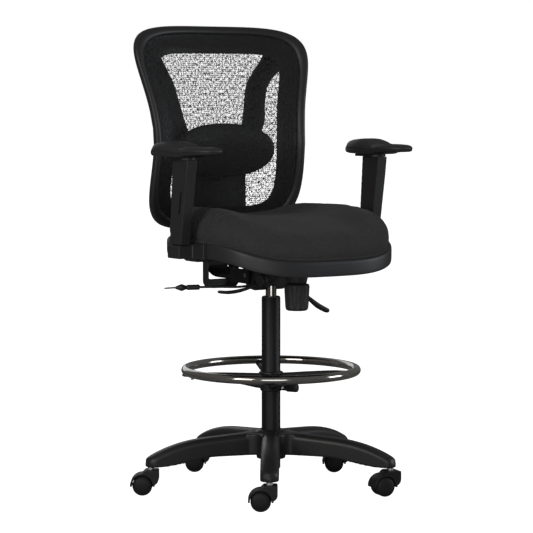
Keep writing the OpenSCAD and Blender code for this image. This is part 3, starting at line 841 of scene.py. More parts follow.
@dataclass
class Column:
    """Outer tube with its collar, and the chromed gas cylinder."""

    def build(self) -> None:
        """Builds and dresses the column."""
        low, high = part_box("column_outer_tube")
        r = high.x
        tube = piece("column_tube", turned(
            [(r - 0.0015, low.z + 0.003), (r - 0.0015, high.z), (r - 0.0006, high.z), (r, high.z - 0.0008),
             (r, low.z + 0.002), (r - 0.002, low.z), (0.006, low.z), (0.006, low.z + 0.003)], 96, loop=True))
        TUBE_PAINT.on(tube)
        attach(tube, "base")
        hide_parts("column_outer_tube")
        b0, b1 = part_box("column_bushing")
        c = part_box("gas_cylinder")[1].x
        collar = piece("column_collar", turned(
            [(c + 0.0001, b0.z), (r - 0.0016, b0.z), (r - 0.0016, high.z + 0.0001),
             (r - 0.0011, high.z + 0.0001),
             (r - 0.0011, b1.z - 0.001), (r - 0.0025, b1.z), (c + 0.0012, b1.z), (c + 0.0001, b1.z - 0.0008)],
            96, loop=True))
        HOUSING.on(collar)
        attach(collar, "base")
        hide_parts("column_bushing")
        g0, g1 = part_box("gas_cylinder")
        rod = piece("gas_cylinder_chrome", turned(
            [(0.00505, g0.z), (c - 0.0015, g0.z), (c, g0.z + 0.0015), (c, g1.z - 0.001), (c - 0.001, g1.z),
             (0.004, g1.z), (0.004, g1.z - 0.018), (0.012, g1.z - 0.018), (0.012, g0.z + 0.012),
             (0.00505, g0.z + 0.012)], 96, loop=True))
        CHROME.on(rod)
        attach(rod, "mechanism")
        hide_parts("gas_cylinder")
        STEEL.on(frame["nodes"]["piston_rod"], frame["nodes"]["thrust_bearing"])
        ZINC.on(frame["nodes"]["rod_clip"])


@dataclass
class FootRing:
    """Chromed ring on four deep spokes that slide on the column, with a clamp knob."""

    def spoke(self, angle: float) -> Surface:
        """One spoke: deep at the collar, shallow under the ring, rounded above and below."""
        x = np.array([0.022, 0.040, 0.075, 0.12, 0.165, 0.200, 0.2225, 0.228])
        top = np.array([0.2965, 0.2972, 0.2985, 0.300, 0.3005, 0.2985, 0.2975, 0.296])
        low = np.array([0.2565, 0.2595, 0.268, 0.2765, 0.284, 0.2885, 0.2905, 0.293])
        half = np.array([0.0095, 0.009, 0.0082, 0.0075, 0.008, 0.0095, 0.0095, 0.007])
        steps = np.linspace(0, 1, 40)
        knots = np.linspace(0, 1, len(x))
        x, top, low, half = (np.interp(steps, knots, v) for v in (x, top, low, half))
        shape = rounded(1, 1, 3.6, 24)
        rings = np.stack([np.broadcast_to(x[:, None], (40, 24)), half[:, None] * shape[:, 0],
                          (top + low)[:, None] / 2 + (top - low)[:, None] / 2 * shape[:, 1]], -1)
        return lofted(rings).placed((0, 0, 0), (0, 0, 1), np.array([math.cos(angle), math.sin(angle), 0]))

    def build(self) -> None:
        """Builds and dresses the foot ring."""
        low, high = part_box("foot_ring")
        thick = (high.z - low.z) / 2
        radius, level = high.x - thick, (high.z + low.z) / 2
        a = np.linspace(0, TURN, 40, endpoint=False)
        ring = piece("foot_ring_chrome", turned(
            np.column_stack([radius + thick * np.cos(a), level + thick * np.sin(a)]).tolist(), 240,
            loop=True))
        CHROME.on(ring)
        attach(ring, "foot_ring")
        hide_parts("foot_ring")
        h0, h1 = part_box("foot_ring_hub")
        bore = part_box("column_outer_tube")[1].x + 0.0001
        collar = turned([(bore, h0.z), (0.0262, h0.z), (0.0275, h0.z + 0.002), (0.0275, h1.z - 0.010),
                         (0.0305, h1.z - 0.007), (0.0305, h1.z - 0.003), (0.029, h1.z - 0.001),
                         (bore, h1.z - 0.001)],
                        72, loop=True)
        clamp = joint("foot_ring_clamp")
        out = np.array(clamp["axis"], float)
        boss = turned([(0.0045, 0), (0.0085, 0), (0.0085, 0.0375), (0.0045, 0.0375)], 40, loop=True)
        first = math.radians(155)
        parts = [self.spoke(first + k * TURN / 4) for k in range(4)]
        parts += [collar, boss.placed(np.array(clamp["pos_m"]) + out * 0.0245, out)]
        hub = piece("foot_ring_hub_moulding", *parts, weld=False)
        fused(hub, 1.5, 4)
        bored(hub, bore)
        HOUSING.on(hub)
        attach(hub, "foot_ring")
        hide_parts("foot_ring_hub")
        ZINC.on(frame["nodes"]["foot_ring_screws"])
        knob = ribbed("clamp_knob", [(0.004, 0.0), (0.0075, 0.0), (0.0085, 0.001), (0.0088, 0.005),
                                     (0.0105, 0.008),
                                     (0.011, 0.010), (0.011, 0.033), (0.0103, 0.0358), (0.007, 0.037),
                                     (0, 0.0373)],
                      12, 0.09, (0.007, 0.034), np.array(clamp["pos_m"]) + out * 0.039, out)
        shank = turned([(0, 0), (0.0036, 0), (0.004, 0.001), (0.004, 0.0145), (0, 0.0145)], 24)
        knob_piece = piece("foot_ring_clamp_knob", knob,
                           shank.placed(np.array(clamp["pos_m"]) + out * 0.0248, out))
        KNOB_RUBBER.on(knob_piece)
        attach(knob_piece, "foot_ring_knob")
        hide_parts("foot_ring_knob")


def ribbed(name: str, profile: list, ribs: int, depth: float, span: tuple[float, float],
           origin: Array, axis: Array) -> Surface:
    """A knob turned from a profile, with flutes between its ribs over a span of its length.

    Args:
        name: what it is, for the log.
        profile: (radius, height) points.
        ribs: how many ribs.
        depth: how deep the flutes are, as a part of the radius.
        span: heights between which the flutes run.
        origin: where the profile's zero height goes.
        axis: the knob's axis.

    Returns:
        The closed surface; radius = profile times (1 - depth times a clipped cosine).
    """
    line = np.asarray(profile, float)
    dense = np.vstack([np.linspace(line[k], line[k + 1], 5)[:-1] for k in range(len(line) - 1)] + [line[-1:]])
    a = np.linspace(0, TURN, ribs * 16, endpoint=False)
    flute = np.clip(0.5 + 1.3 * np.cos(ribs * a), 0, 1)
    edge = 0.12 * (span[1] - span[0])
    fade = curved(dense[:, 1], span[0], span[0] + edge) * (1 - curved(dense[:, 1], span[1] - edge, span[1]))
    wave = 1 - depth * flute[None, :] * fade[:, None]
    LOG.info("turned %s with %d ribs", name, ribs)
    return turned(dense.tolist(), len(a), wave=wave).placed(origin, axis)


@dataclass
class Mechanism:
    """Tilt mechanism under the seat, its tension knob and three levers."""

    lever_steps: int = 90

    def lever(self, name: str, body: str, points: list, sizes: list) -> None:
        """A lever whose oval section changes along a smooth line.

        Args:
            name: the CAD node that it stands for.
            body: the body that it rides on.
            points: points that the line passes through, in metres.
            sizes: (half width, half height) at each point.
        """
        path = smooth_line(points, self.lever_steps)
        knots = run_lengths(np.asarray(points, float))
        t = np.linspace(0, knots[-1], self.lever_steps)
        half = np.stack([np.interp(t, knots, np.asarray(sizes)[:, k]) for k in (0, 1)], -1)
        ends = np.minimum(1, np.sqrt(np.clip(np.minimum(t, knots[-1] - t) / 0.006, 0.001, 1)))[:, None]
        section = rounded(1, 1, 2.3, 28)[None] * (half * ends)[:, None]
        obj = piece(f"{name}_handle", swept(path, section))
        KNOB_RUBBER.on(obj)
        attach(obj, body)
        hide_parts(name)

    def build(self) -> None:
        """Builds and dresses the mechanism."""
        body = softened("mechanism_housing", 1.6, 5)
        HOUSING.on(body)
        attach(body, "mechanism")
        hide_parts("mechanism_housing")
        knob = joint("tension_adjust")["pos_m"]
        b0, b1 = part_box("tension_boot")
        boot = piece("tension_boot_cover", turned(
            [(0.0052, b0.z), (0.0235, b0.z), (0.025, b0.z + 0.0015), (0.0255, b0.z + 0.005), (0.0275, b1.z),
             (0.0275, b1.z + 0.006), (0.0052, b1.z + 0.006)], 64, loop=True).moved((0, knob[1], 0)))
        HOUSING.on(boot)
        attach(boot, "mechanism")
        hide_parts("tension_boot")
        k0, k1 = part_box("tension_knob")
        r = k1.x
        profile = [(0.0052, k0.z + 0.006), (0.011, k0.z + 0.003), (0.015, k0.z + 0.0006),
                   (r - 0.009, k0.z + 0.0008),
                   (r - 0.0050, k0.z + 0.003), (r - 0.0034, k0.z + 0.007), (r - 0.0026, k0.z + 0.012),
                   (r, k1.z - 0.008), (r - 0.0004, k1.z - 0.004), (r - 0.0025, k1.z - 0.0012),
                   (r - 0.007, k1.z),
                   (0.0052, k1.z)]
        wheel = ribbed("tension knob", profile, 12, 0.055, (k0.z + 0.006, k1.z - 0.004),
                       np.array([0, knob[1], 0]), np.array([0, 0, 1.0]))
        obj = piece("tension_knob_ribbed", wheel)
        KNOB_RUBBER.on(obj)
        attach(obj, "tension_knob")
        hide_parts("tension_knob")
        STEEL.on(frame["nodes"]["tension_bolt"])
        self.lever("height_lever", "height_lever",
                   [(0.040, -0.020, 0.524), (0.060, -0.020, 0.516), (0.084, -0.020, 0.498),
                    (0.108, -0.021, 0.479),
                    (0.132, -0.021, 0.462), (0.152, -0.021, 0.452), (0.164, -0.021, 0.447)],
                   [(0.004, 0.004), (0.004, 0.004), (0.0045, 0.0042), (0.0075, 0.0056), (0.0112, 0.0068),
                    (0.0112, 0.0066), (0.009, 0.0058)])
        self.lever("tilt_lock_lever", "tilt_lock_lever",
                   [(-0.040, -0.008, 0.5245), (-0.056, -0.007, 0.5215), (-0.072, -0.006, 0.517),
                    (-0.098, -0.001, 0.5105),
                    (-0.126, 0.002, 0.508), (-0.158, 0.002, 0.511)],
                   [(0.0035, 0.0035), (0.0035, 0.0035), (0.004, 0.004), (0.0085, 0.0045), (0.0105, 0.0045),
                    (0.008, 0.004)])
        self.lever("back_lock_lever", "back_lock_lever",
                   [(-0.040, 0.0115, 0.5242), (-0.072, 0.021, 0.5190), (-0.130, 0.0395, 0.5195),
                    (-0.178, 0.0545, 0.520),
                    (-0.1795, 0.055, 0.520), (-0.209, 0.064, 0.520), (-0.2105, 0.0645, 0.520),
                    (-0.2145, 0.0655, 0.520),
                    (-0.2235, 0.068, 0.520), (-0.238, 0.0725, 0.520), (-0.2395, 0.073, 0.520),
                    (-0.268, 0.0815, 0.519)],
                   [(0.003, 0.003), (0.003, 0.003), (0.003, 0.003), (0.003, 0.003), (0.0068, 0.0068),
                    (0.0068, 0.0068), (0.0045, 0.0045), (0.0055, 0.0055), (0.0092, 0.0092), (0.0035, 0.0035),
                    (0.002, 0.002), (0.0018, 0.0018)])


@dataclass
class Seat:
    """Seat: plate, plywood pan, shell with its edge band, welt and upholstered cushion."""

    square: float = 3.3
    droop: float = 0.043
    droop_start: float = -0.110
    stations: int = 176

    def __post_init__(self) -> None:
        """Reads the seat's sizes from the frame."""
        low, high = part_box("seat_shell")
        self.half_x, self.half_y = high.x, (high.y - low.y) / 2
        self.mid_y, self.rim_z, self.low_z = (high.y + low.y) / 2, high.z, low.z + self.droop
        self.top_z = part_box("seat_cushion")[1].z

    def drop(self, y: Array) -> Array:
        """Fall of the seat towards its front edge: a parabola from droop_start forward."""
        front = self.mid_y - self.half_y
        return self.droop * np.clip((self.droop_start - y) / (self.droop_start - front), 0, 1.2) ** 2

    def ring(self, inset: float, z: float) -> Array:
        """Outline of the seat, moved in by inset, at height z before the front falls."""
        p = rounded(self.half_x - inset, self.half_y - inset, self.square, self.stations) + [0, self.mid_y]
        return np.column_stack([p, z - self.drop(p[:, 1])])

    def around(self, section: list) -> Surface:
        """Carries a closed (inset, height) section round the seat's edge."""
        return lofted(np.stack([self.ring(d, z) for d, z in section]), loop=True)

    def shell(self) -> None:
        """Moulded shell whose band shows below the cushion, with a shadow line and rounded edges."""
        z0, z1 = self.low_z, self.rim_z
        section = [(0.0022, z0 + 0.0004), (0.0010, z0 + 0.0018), (0.0004, z0 + 0.005), (0.0001, z0 + 0.012),
                   (0.0, z1 - 0.009), (0.0002, z1 - 0.0040), (0.0008, z1 - 0.0014), (0.0022, z1 - 0.0002),
                   (0.0044, z1 - 0.0004), (0.0052, z1 - 0.002), (0.0055, z0 + 0.009), (0.008, z0 + 0.0059),
                   (0.012, z0 + 0.0059), (0.062, z0 + 0.0059), (0.062, z0 + 0.0032), (0.030, z0 + 0.003),
                   (0.016, z0 + 0.003), (0.012, z0), (0.0045, z0)]
        obj = piece("seat_shell_band", self.around(section))
        cut = piece("notches", *[block((s * 0.2538 - 0.006, -0.102, 0.590),
                                       (s * 0.2538 + 0.006, 0.024, 0.650))
                                 for s in (-1, 1)])
        notch = obj.modifiers.new("notch", "BOOLEAN")
        notch.object, notch.operation, notch.solver = cut, "DIFFERENCE", "EXACT"
        baked(obj)
        bpy.data.objects.remove(cut)
        shaded(obj, 35)
        BAND_PLASTIC.on(obj)
        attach(obj, "seat")
        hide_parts("seat_shell")

    def welt(self) -> None:
        """Sewn welt cord that lies in the joint between the cushion and the band."""
        a = np.linspace(0, TURN, 14, endpoint=False)
        centre, r = (0.0052, self.rim_z + 0.0016), 0.0021
        obj = piece("seat_welt", self.around([(centre[0] + r * math.cos(x),
                                               centre[1] + r * math.sin(x)) for x in a]))
        WELT_CLOTH.on(obj)
        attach(obj, "seat")

    def crown(self, x: Array, y: Array) -> Array:
        """Height added to the cushion's top: side bolsters, a dished middle and a fall at the front."""
        u, v = np.abs(x) / self.half_x, (y - self.mid_y) / self.half_y
        bolster = 0.020 * curved(u, 0.36, 0.78)
        dish = -0.010 * np.exp(-((x / 0.13) ** 2)) * curved(v, -0.35, 0.55)
        front = -0.016 * curved(-v, 0.0, 0.75)
        hump = 0.006 * np.exp(-(((u - 0.52) / 0.22) ** 2)) * curved(v, 0.25, 0.75)
        return bolster + dish + front + hump

    def cushion(self) -> None:
        """Crowned upholstered cushion, inflated as cloth over its foam and held near its pattern."""
        edge = self.rim_z
        levels = [(0.236, 0.6186), (0.150, 0.6186), (0.100, 0.6186), (0.062, 0.6186), (0.016, 0.6186),
                  (0.0078, 0.6225), (0.0075, edge - 0.002), (0.0075, edge + 0.003), (0.0044, edge + 0.010),
                  (0.0030, edge + 0.019), (0.0050, edge + 0.032), (0.0105, edge + 0.044),
                  (0.021, edge + 0.0535),
                  (0.040, edge + 0.0580), (0.075, edge + 0.0585), (0.110, edge + 0.0585),
                  (0.160, edge + 0.0585),
                  (0.236, edge + 0.0585)]
        rings = np.stack([self.ring(d, z) for d, z in levels])
        upper = rings[10:]
        share = np.clip(np.arange(len(upper)) / 3.5, 0.05, 1)[:, None]
        rings[10:, :, 2] += self.crown(upper[..., 0], upper[..., 1]) * share
        obj = piece("seat_cushion_cover", lofted(rings))
        fused(obj, 5.0, 3)
        inflate(obj, pressure=4.0, frames=20, cap=0.006, floor_z=0.6175)
        level = obj.modifiers.new("finer", "SUBSURF")
        level.levels = level.render_levels = 1
        baked(obj)
        shaded(obj, 60)
        SEAT_CLOTH.on(obj)
        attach(obj, "seat")
        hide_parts("seat_cushion")

    def build(self) -> None:
        """Builds and dresses the seat."""
        self.shell()
        self.welt()
        self.cushion()
        PLY.on(frame["nodes"]["seat_pan"])
        DARK_STEEL.on(*(frame["nodes"][name] for name in ("seat_plate", "seat_pivot_pin", "back_pivot_pin")))
        ZINC.on(frame["nodes"]["seat_bolts"], frame["nodes"]["arm_bolts"])


def inflate(obj: bpy.types.Object, pressure: float, frames: int, cap: float, floor_z: float) -> None:
    """Blows a closed mesh up as cloth, then limits how far each point has moved.

    Args:
        obj: the cushion.
        pressure: air pressure inside it.
        frames: how long it swells.
        cap: the furthest that a point may move, in metres.
        floor_z: the lowest height that a moved point may reach over the pan.
    """
    scene = bpy.context.scene
    before = np.zeros(len(obj.data.vertices) * 3)
    obj.data.vertices.foreach_get("co", before)
    cloth = obj.modifiers.new("swell", "CLOTH")
    cloth.settings.use_pressure = True
    cloth.settings.uniform_pressure_force = pressure
    cloth.settings.effector_weights.gravity = 0
    cloth.settings.quality = 4
    for number in range(1, frames + 1):
        scene.frame_set(number)
    baked(obj)
    scene.frame_set(1)
    after = np.zeros_like(before)
    obj.data.vertices.foreach_get("co", after)
    before, after = before.reshape(-1, 3), after.reshape(-1, 3)
    move = after - before
    length = np.linalg.norm(move, axis=1, keepdims=True)
    move *= np.minimum(1, cap / np.maximum(length, 1e-9))
    low = np.clip((before[:, 2:] - floor_z - 0.002) / 0.03, 0, 1)
    obj.data.vertices.foreach_set("co", (before + move * low).ravel())
    obj.data.update()


@dataclass
class Arms:
    """Height-adjustable arms: bracket, sleeve, plate and soft pad on each side."""

    def pad(self, side: str, sign: int) -> None:
        """Soft pad: thin at the rear, a hump, a waist, then a slim front whose underside rises.

        Args:
            side: left or right.
            sign: 1 on the sitter's left and -1 on the right.
        """
        low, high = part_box(f"arm_pad_{side}")
        half_y, half_x, n = 0.130, 0.045, 144
        mid = np.array([(low.x + high.x) / 2, (low.y + high.y) / 2 - 0.002, 0])
        q_top = [(-1, 25), (-0.8, 28), (-0.5, 28.5), (-0.25, 28), (-0.1, 30), (0.1, 36), (0.35, 40),
                 (0.6, 38),
                 (0.8, 30), (0.93, 20), (1, 15)]
        q_low = [(-1, 8), (-0.6, 6.5), (-0.3, 4), (-0.2, 0.8), (-0.1, 0.1), (0.5, 0.1), (0.8, 1), (1, 4)]
        top, under = (smooth_line(line, 200) for line in (q_top, q_low))
        levels = [(0.041, 0.0), (0.020, 0.0), (0.0085, 0.02), (0.0030, 0.10), (0.0010, 0.20), (0.0006, 0.30),
                  (0.0018, 0.34), (0.0004, 0.38), (0.0, 0.50), (0.0012, 0.64), (0.0045, 0.79), (0.010, 0.90),
                  (0.018, 0.965), (0.027, 0.99), (0.036, 1.0), (0.042, 1.0)]
        rings = []
        for inset, level in levels:
            p = rounded(half_x - inset, half_y - inset, 3.0, n)
            q = p[:, 1] / half_y
            crest = np.interp(q, top[:, 0], top[:, 1]) * MM
            sole = np.interp(q, under[:, 0], under[:, 1]) * MM
            dish = -0.0030 * np.exp(-((p[:, 0] / 0.024) ** 2)) * curved(-q, 0.05,
                                                                        0.45) * (1 - curved(-q, 0.75, 1))
            waist = 1 - 0.10 * np.exp(-(((q + 0.16) / 0.20) ** 2)) - 0.06 * q**2
            rings.append(np.column_stack([p[:, 0] * waist, p[:, 1],
                                          sole + level * (crest - sole) + dish * curved(np.full(n,
                                                                                                level), 0.6, 1)]))
        turn = math.radians(-3 * sign)
        rot = np.array([[math.cos(turn), math.sin(turn), 0], [-math.sin(turn), math.cos(turn), 0], [0, 0, 1]])
        surface = lofted(np.stack(rings))
        surface.points = surface.points @ rot + mid + [0, 0, low.z]
        obj = piece(f"arm_pad_{side}_skin", surface)
        PAD_SKIN.on(obj)
        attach(obj, f"arm_{side}")
        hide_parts(f"arm_pad_{side}")

    def slot(self, side: str, sign: int) -> None:
        """Painted shade: a near-black, matt strip set in the slot of a sleeve's outer face, along the leaning
        post, standing in for the shade inside the slot.
        """
        lean = math.radians(10.6)
        slide = np.array([0, -math.sin(lean), math.cos(lean)])
        foot = np.array([sign * 0.2976, -0.0455, 0.7112])
        # The painted shade strip that fills the slot.
        shade_strip = slab((-0.0017, -0.0022, 0.0), (0.0017, 0.0022, 0.056), 0.001)
        obj = piece(f"arm_slot_shade_{side}", shade_strip.placed(foot, slide, np.array([1.0, 0, 0])))
        SLOT_SHADE.on(obj)
        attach(obj, f"arm_{side}")

    def build(self) -> None:
        """Builds and dresses both arms."""
        for side, sign in (("left", 1), ("right", -1)):
            self.pad(side, sign)
            for node, body, voxel in ((f"arm_bracket_{side}", "seat", 1.5),
                                      (f"arm_sleeve_{side}", f"arm_{side}", 1.2)):
                obj = softened(node, voxel, 5)
                SLEEVE_NYLON.on(obj)
                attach(obj, body)
                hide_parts(node)
            HOUSING.on(frame["nodes"][f"arm_plate_{side}"])
            # Painted shade in the sleeve's slot.
            self.slot(side, sign)


@dataclass
class Back:
    """Mesh back: waisted rim, dark border behind it, knit, spine with two spars and a lumbar pad."""

    waist: float = 0.228
    waist_z: float = 0.887
    bow: float = 0.030
    square: float = 4.2
    rim: float = 0.022
    stations: int = 288

    def __post_init__(self) -> None:
        """Reads the back's height from the frame."""
        low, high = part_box("back_shell")
        self.mid, self.half = (low.z + high.z) / 2, (high.z - low.z) / 2

    def side_y(self, z: Array) -> Array:
        """Depth of the side edges: forward at the waist, back at the top and bottom."""
        above = 0.176 + 0.0735 * (np.clip(z - self.waist_z, 0, 1) / 0.293) ** 1.35
        below = 0.057 * (np.clip(self.waist_z - z, 0, 1) / 0.235) ** 1.6
        return above + below

    def face_y(self, x: Array, z: Array) -> Array:
        """Depth of the front face: its middle lies behind its sides by bow."""
        return self.side_y(z) + self.bow * (1 - (x / 0.240) ** 2)

    def outline(self, inset: float, rear: float, count: int) -> Array:
        """Outline of the back moved in by inset and back by rear.

        Returns:
            (count, 3) points; z and x follow a superellipse whose width grows away from the waist and
            whose exponent grows from 4.2 at the rim to 6 at the inner edge.
        """
        a = np.linspace(0, TURN, count, endpoint=False)
        square = self.square + 1.8 * min(1.0, max(0.0, (inset - 0.024) / 0.047))
        t = power(np.sin(a), 2 / square)
        z = self.mid + (self.half - inset) * t - 0.35 * max(0.0, inset - 0.030) * np.clip(-t, 0, 1)
        grow = np.where(z > self.waist_z, 1.1, 0.5) * (z - self.waist_z) ** 2
        x = (self.waist + grow - inset) * power(np.cos(a), 2 / square)
        return np.column_stack([x, self.face_y(x, z) + rear, z])

    def shell(self) -> None:
        """Rounded rim, and the wide border behind the knit."""
        section = [(0, 16), (-0.2, 10), (0.1, 6), (1.2, 2.6), (3.2, 0.4), (6, -1.0), (9.5, -1.7),
                   (13, -1.5), (15.8, -0.6), (18.2, 1.0), (20.0, 3.4), (21.2, 6.5), (21.8, 9), (22, 11),
                   (25, 12.2), (32, 13.2), (50, 13.8), (69.5, 14), (71, 15.2), (71, 18.8), (69.5, 20),
                   (40, 23),
                   (24, 23.2), (10, 23), (4.5, 22), (1.4, 19.4)]
        rings = np.stack([self.outline(d * MM, e * MM, self.stations) for d, e in section])
        obj = piece("back_shell_frame", lofted(rings, loop=True), sharp=50)
        FRAME_PLASTIC.on(obj)
        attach(obj, "backrest")
        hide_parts("back_shell")

    def knit(self) -> None:
        """The knit, stretched over the rim as one thin sheet with a UV map in metres."""
        insets = np.linspace(self.rim - 0.002, 0.222, 34)
        rings = np.stack([self.outline(float(d), 0.0052, 144) for d in insets])
        m, n = rings.shape[:2]
        surface = lofted(rings)
        last, top = (m - 1) * n, n // 4
        j = np.arange(1 - top, top - 1)
        middle = last + np.stack([j, j + 1, 2 * top - j - 1, 2 * top - j], -1) % n
        caps = last + np.array([[-top, 1 - top, 3 * top - 1], [top - 1, top, top + 1]]) % n
        sheet = piece("back_knit_sheet", Surface(surface.points, np.vstack([surface.quads, middle]),
                                                 caps), weld=False)
        loose = bmesh.new()
        loose.from_mesh(sheet.data)
        bmesh.ops.delete(loose, geom=[v for v in loose.verts if not v.link_faces], context="VERTS")
        bmesh.ops.recalc_face_normals(loose, faces=loose.faces)
        loose.to_mesh(sheet.data)
        loose.free()
        co = np.zeros(len(sheet.data.vertices) * 3)
        sheet.data.vertices.foreach_get("co", co)
        corner = np.zeros(len(sheet.data.loops), int)
        sheet.data.loops.foreach_get("vertex_index", corner)
        uv = co.reshape(-1, 3)[corner][:, [0, 2]]
        layer = sheet.data.uv_layers.new(name="cloth")
        layer.data.foreach_set("uv", uv.ravel())
        shaded(sheet, 80)
        BACK_KNIT.on(sheet)
        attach(sheet, "backrest")
        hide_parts("back_mesh")

    def spine(self) -> None:
        """Wide spine plate, its sleeve on the bar, and two broad arms that part behind the lumbar pad."""
        low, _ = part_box("back_spine")
        _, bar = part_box("back_bar")
        y0, y1 = bar.y - 0.0155, bar.y + 0.0055
        parts = [slab((-0.0365, y0, low.z + 0.0005), (0.0365, y1, low.z + 0.1895), 0.004),
                 slab((-0.1005, 0.2745, low.z + 0.0315), (0.1005, 0.2855, low.z + 0.137), 0.004),
                 slab((-0.0215, 0.2725, 0.780), (0.0215, 0.2845, 0.9145), 0.003)]
        stations = np.array([(790, -2, 101, 274), (815, 0, 101, 273.5), (840, 30, 105, 272.5),
                             (875, 60, 126, 270),
                             (925, 87.5, 155, 269), (980, 101, 164, 278), (1030, 114, 180, 286),
                             (1045, 121, 191, 286), (1056, 129, 203, 285), (1068, 136, 214, 283),
                             (1105, 159, 218, 278), (1128, 165, 214, 277)]) * MM
        arm = smooth_line(stations.tolist(), 70)
        square = np.array([(0, 0), (1, 0), (1, 1), (0, 1)])
        x = arm[:, 1:2] + (arm[:, 2:3] - arm[:, 1:2]) * square[:, 0]
        y = arm[:, 3:4] + 0.0115 * square[:, 1]
        rings = np.stack([x, y, np.broadcast_to(arm[:, :1], x.shape)], -1)
        rib = arm[8:-6]
        middle = (rib[:, 1:2] + rib[:, 2:3]) / 2 + 0.0025 * (2 * square[:, 0] - 1)
        back = rib[:, 3:4] + 0.010 + 0.007 * square[:, 1]
        ribs = np.stack([middle, back, np.broadcast_to(rib[:, :1], middle.shape)], -1)
        parts += [lofted(rings), lofted(rings).mirrored(), lofted(ribs), lofted(ribs).mirrored()]
        for s in (-1, 1):
            for inset in (0.046, 0.080):
                parts.append(slab((s * inset - 0.0018, 0.280, low.z + 0.036),
                                  (s * inset + 0.0018, 0.2925, low.z + 0.165),
                                  0.001))
        a = np.linspace(0, TURN, 24, endpoint=False)
        for s in (-1, 1):
            x, z = s * 0.184 + 0.008 * np.cos(a), 1.108 + 0.008 * np.sin(a)
            parts.append(lofted(np.stack([np.column_stack([x, y, z])
                                          for y in (self.face_y(x, z) + 0.0226, np.full(24, 0.279))])))
        obj = piece("back_spine_moulding", *parts, weld=False)
        fused(obj, 1.8, 4)
        FRAME_PLASTIC.on(obj)
        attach(obj, "backrest")
        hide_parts("back_spine")
        ZINC.on(frame["nodes"]["back_screws"])

    def lumbar(self) -> None:
        """Oval lumbar pad behind the knit, on a block that slides on the spine."""
        low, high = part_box("lumbar_pad")
        mid = (low.z + high.z) / 2
        levels = [(0.004, 0.0125), (0.60, 0.0125), (0.90, 0.0127), (0.965, 0.0140), (0.995, 0.0170),
                  (1.0, 0.0195),
                  (0.99, 0.0222), (0.95, 0.0245), (0.60, 0.0252), (0.004, 0.0252)]
        rings = []
        for k, rear in levels:
            p = rounded(0.1505 * k, 0.0710 * k, 2.25, 120)
            rings.append(np.column_stack([p[:, 0], self.face_y(p[:, 0], mid + p[:, 1]) + rear,
                                          mid + p[:, 1]]))
        carrier = block((-0.0195, 0.228, mid - 0.0245), (0.0195, high.y - 0.0003, mid + 0.0245))
        obj = piece("lumbar_pad_moulding", lofted(np.stack(rings)), carrier)
        FRAME_PLASTIC.on(obj)
        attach(obj, "lumbar")
        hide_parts("lumbar_pad")

    def build(self) -> None:
        """Builds and dresses the back."""
        self.shell()
        self.knit()
        self.spine()
        self.lumbar()
        TUBE_PAINT.on(frame["nodes"]["back_bar"])
        shroud = softened("back_shroud", 1.5, 5)
        HOUSING.on(shroud)
        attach(shroud, "back_bar")
        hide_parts("back_shroud")


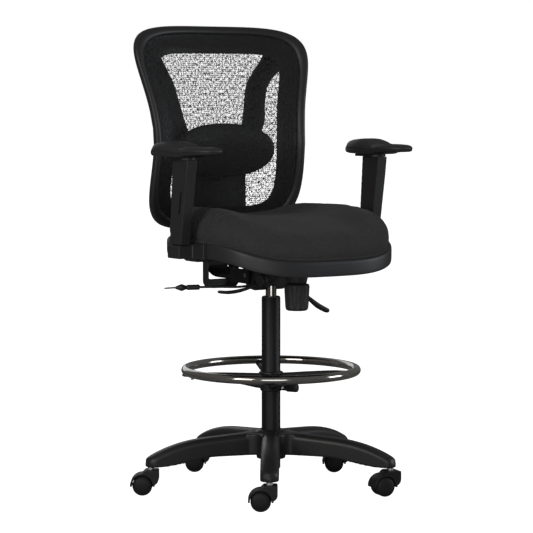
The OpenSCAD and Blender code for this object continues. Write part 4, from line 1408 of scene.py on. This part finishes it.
@dataclass
class Studio:
    """Camera, pale floor and soft light."""

    azimuth: float = 33.0
    distance: float = 5.669
    height: float = 1.006
    shift_x: float = -0.0115
    pitch: float = 4.418
    lens: float = 151.37
    ambient: float = 0.15

    def camera(self) -> None:
        """Places the camera on the sitter's right front, level with the top of the back."""
        a = math.radians(self.azimuth)
        right = Vector((math.cos(a), -math.sin(a), 0))
        ahead = Vector((math.sin(a), math.cos(a), 0))
        data = bpy.data.cameras.new("camera")
        data.lens, data.sensor_width = self.lens, 36.0
        cam = bpy.data.objects.new("camera", data)
        cam.location = right * self.shift_x - ahead * self.distance + Vector((0, 0, self.height))
        cam.rotation_euler = (math.radians(90 - self.pitch), 0, -a)
        bpy.context.scene.collection.objects.link(cam)
        bpy.context.scene.camera = cam

    def light(self, name: str, place: tuple, size: float, power_w: float, tint: tuple = (1, 1, 1)) -> None:
        """Adds a square area light that faces the chair."""
        data = bpy.data.lights.new(name, "AREA")
        data.size, data.energy, data.color = size, power_w, tint
        obj = bpy.data.objects.new(name, data)
        obj.location = place
        obj.rotation_euler = (Vector((0, 0, 0.6)) - Vector(place)).to_track_quat("-Z", "Y").to_euler()
        bpy.context.scene.collection.objects.link(obj)

    def build(self) -> None:
        """Builds the studio."""
        self.camera()
        scene = bpy.context.scene
        scene.view_settings.view_transform = "Standard"
        world = bpy.data.worlds.new("studio")
        world.use_nodes = True
        graph = Graph(world.node_tree)
        sky = world.node_tree.nodes["Background"]
        sky.inputs[0].default_value = (1, 1, 1, 1)
        seen = graph.add("ShaderNodeLightPath").outputs["Is Camera Ray"]
        graph.feed(sky.inputs[1], graph.math("ADD", graph.math("MULTIPLY", seen, 1.0 - self.ambient),
                                             self.ambient))
        scene.world = world
        self.light("key", (-3.6, -1.4, 1.7), 1.6, 54, (1.0, 0.97, 0.92))
        self.light("fill", (3.6, -2.4, 1.3), 1.6, 46, (0.92, 0.96, 1.0))
        self.light("front", (-2.2, -3.9, 0.8), 2.4, 44)
        self.light("top", (-0.4, -0.6, 4.2), 1.8, 3)
        self.light("back", (0.8, 3.6, 1.6), 2.0, 10, (0.95, 0.97, 1.0))
        edge = 30.0
        corners = np.array([[-edge, -edge, 0], [edge, -edge, 0], [edge, edge, 0], [-edge, edge, 0]])
        floor = piece("floor", Surface(corners, np.array([[0, 1, 2, 3]]), np.zeros((0, 3), int)), weld=False)
        mat = bpy.data.materials.new("pale_floor")
        mat.use_nodes = True
        shader = mat.node_tree.nodes["Principled BSDF"]
        shader.inputs["Base Color"].default_value = (0.3, 0.3, 0.3, 1)
        shader.inputs["Emission Color"].default_value = (1, 1, 1, 1)
        graph = Graph(mat.node_tree)
        glow = graph.add("ShaderNodeLightPath").outputs["Is Camera Ray"]
        graph.feed(shader.inputs["Emission Strength"], graph.math("MULTIPLY", glow, 1.1))
        shader.inputs["Roughness"].default_value = 0.9
        shader.inputs["Specular IOR Level"].default_value = 0.1
        floor.data.materials.append(mat)


def main() -> None:
    """Builds the studio and every sub-assembly."""
    logging.basicConfig(level=logging.INFO, format="%(message)s")
    Studio().build()
    for make in (make_grain, make_weave, make_knit, make_brush):
        make()
    for part in (Base(), Casters(), Column(), FootRing(), Mechanism(), Seat(), Arms(), Back()):
        part.build()
        LOG.info("built %s", type(part).__name__)


if __name__ == "__main__":
    main()
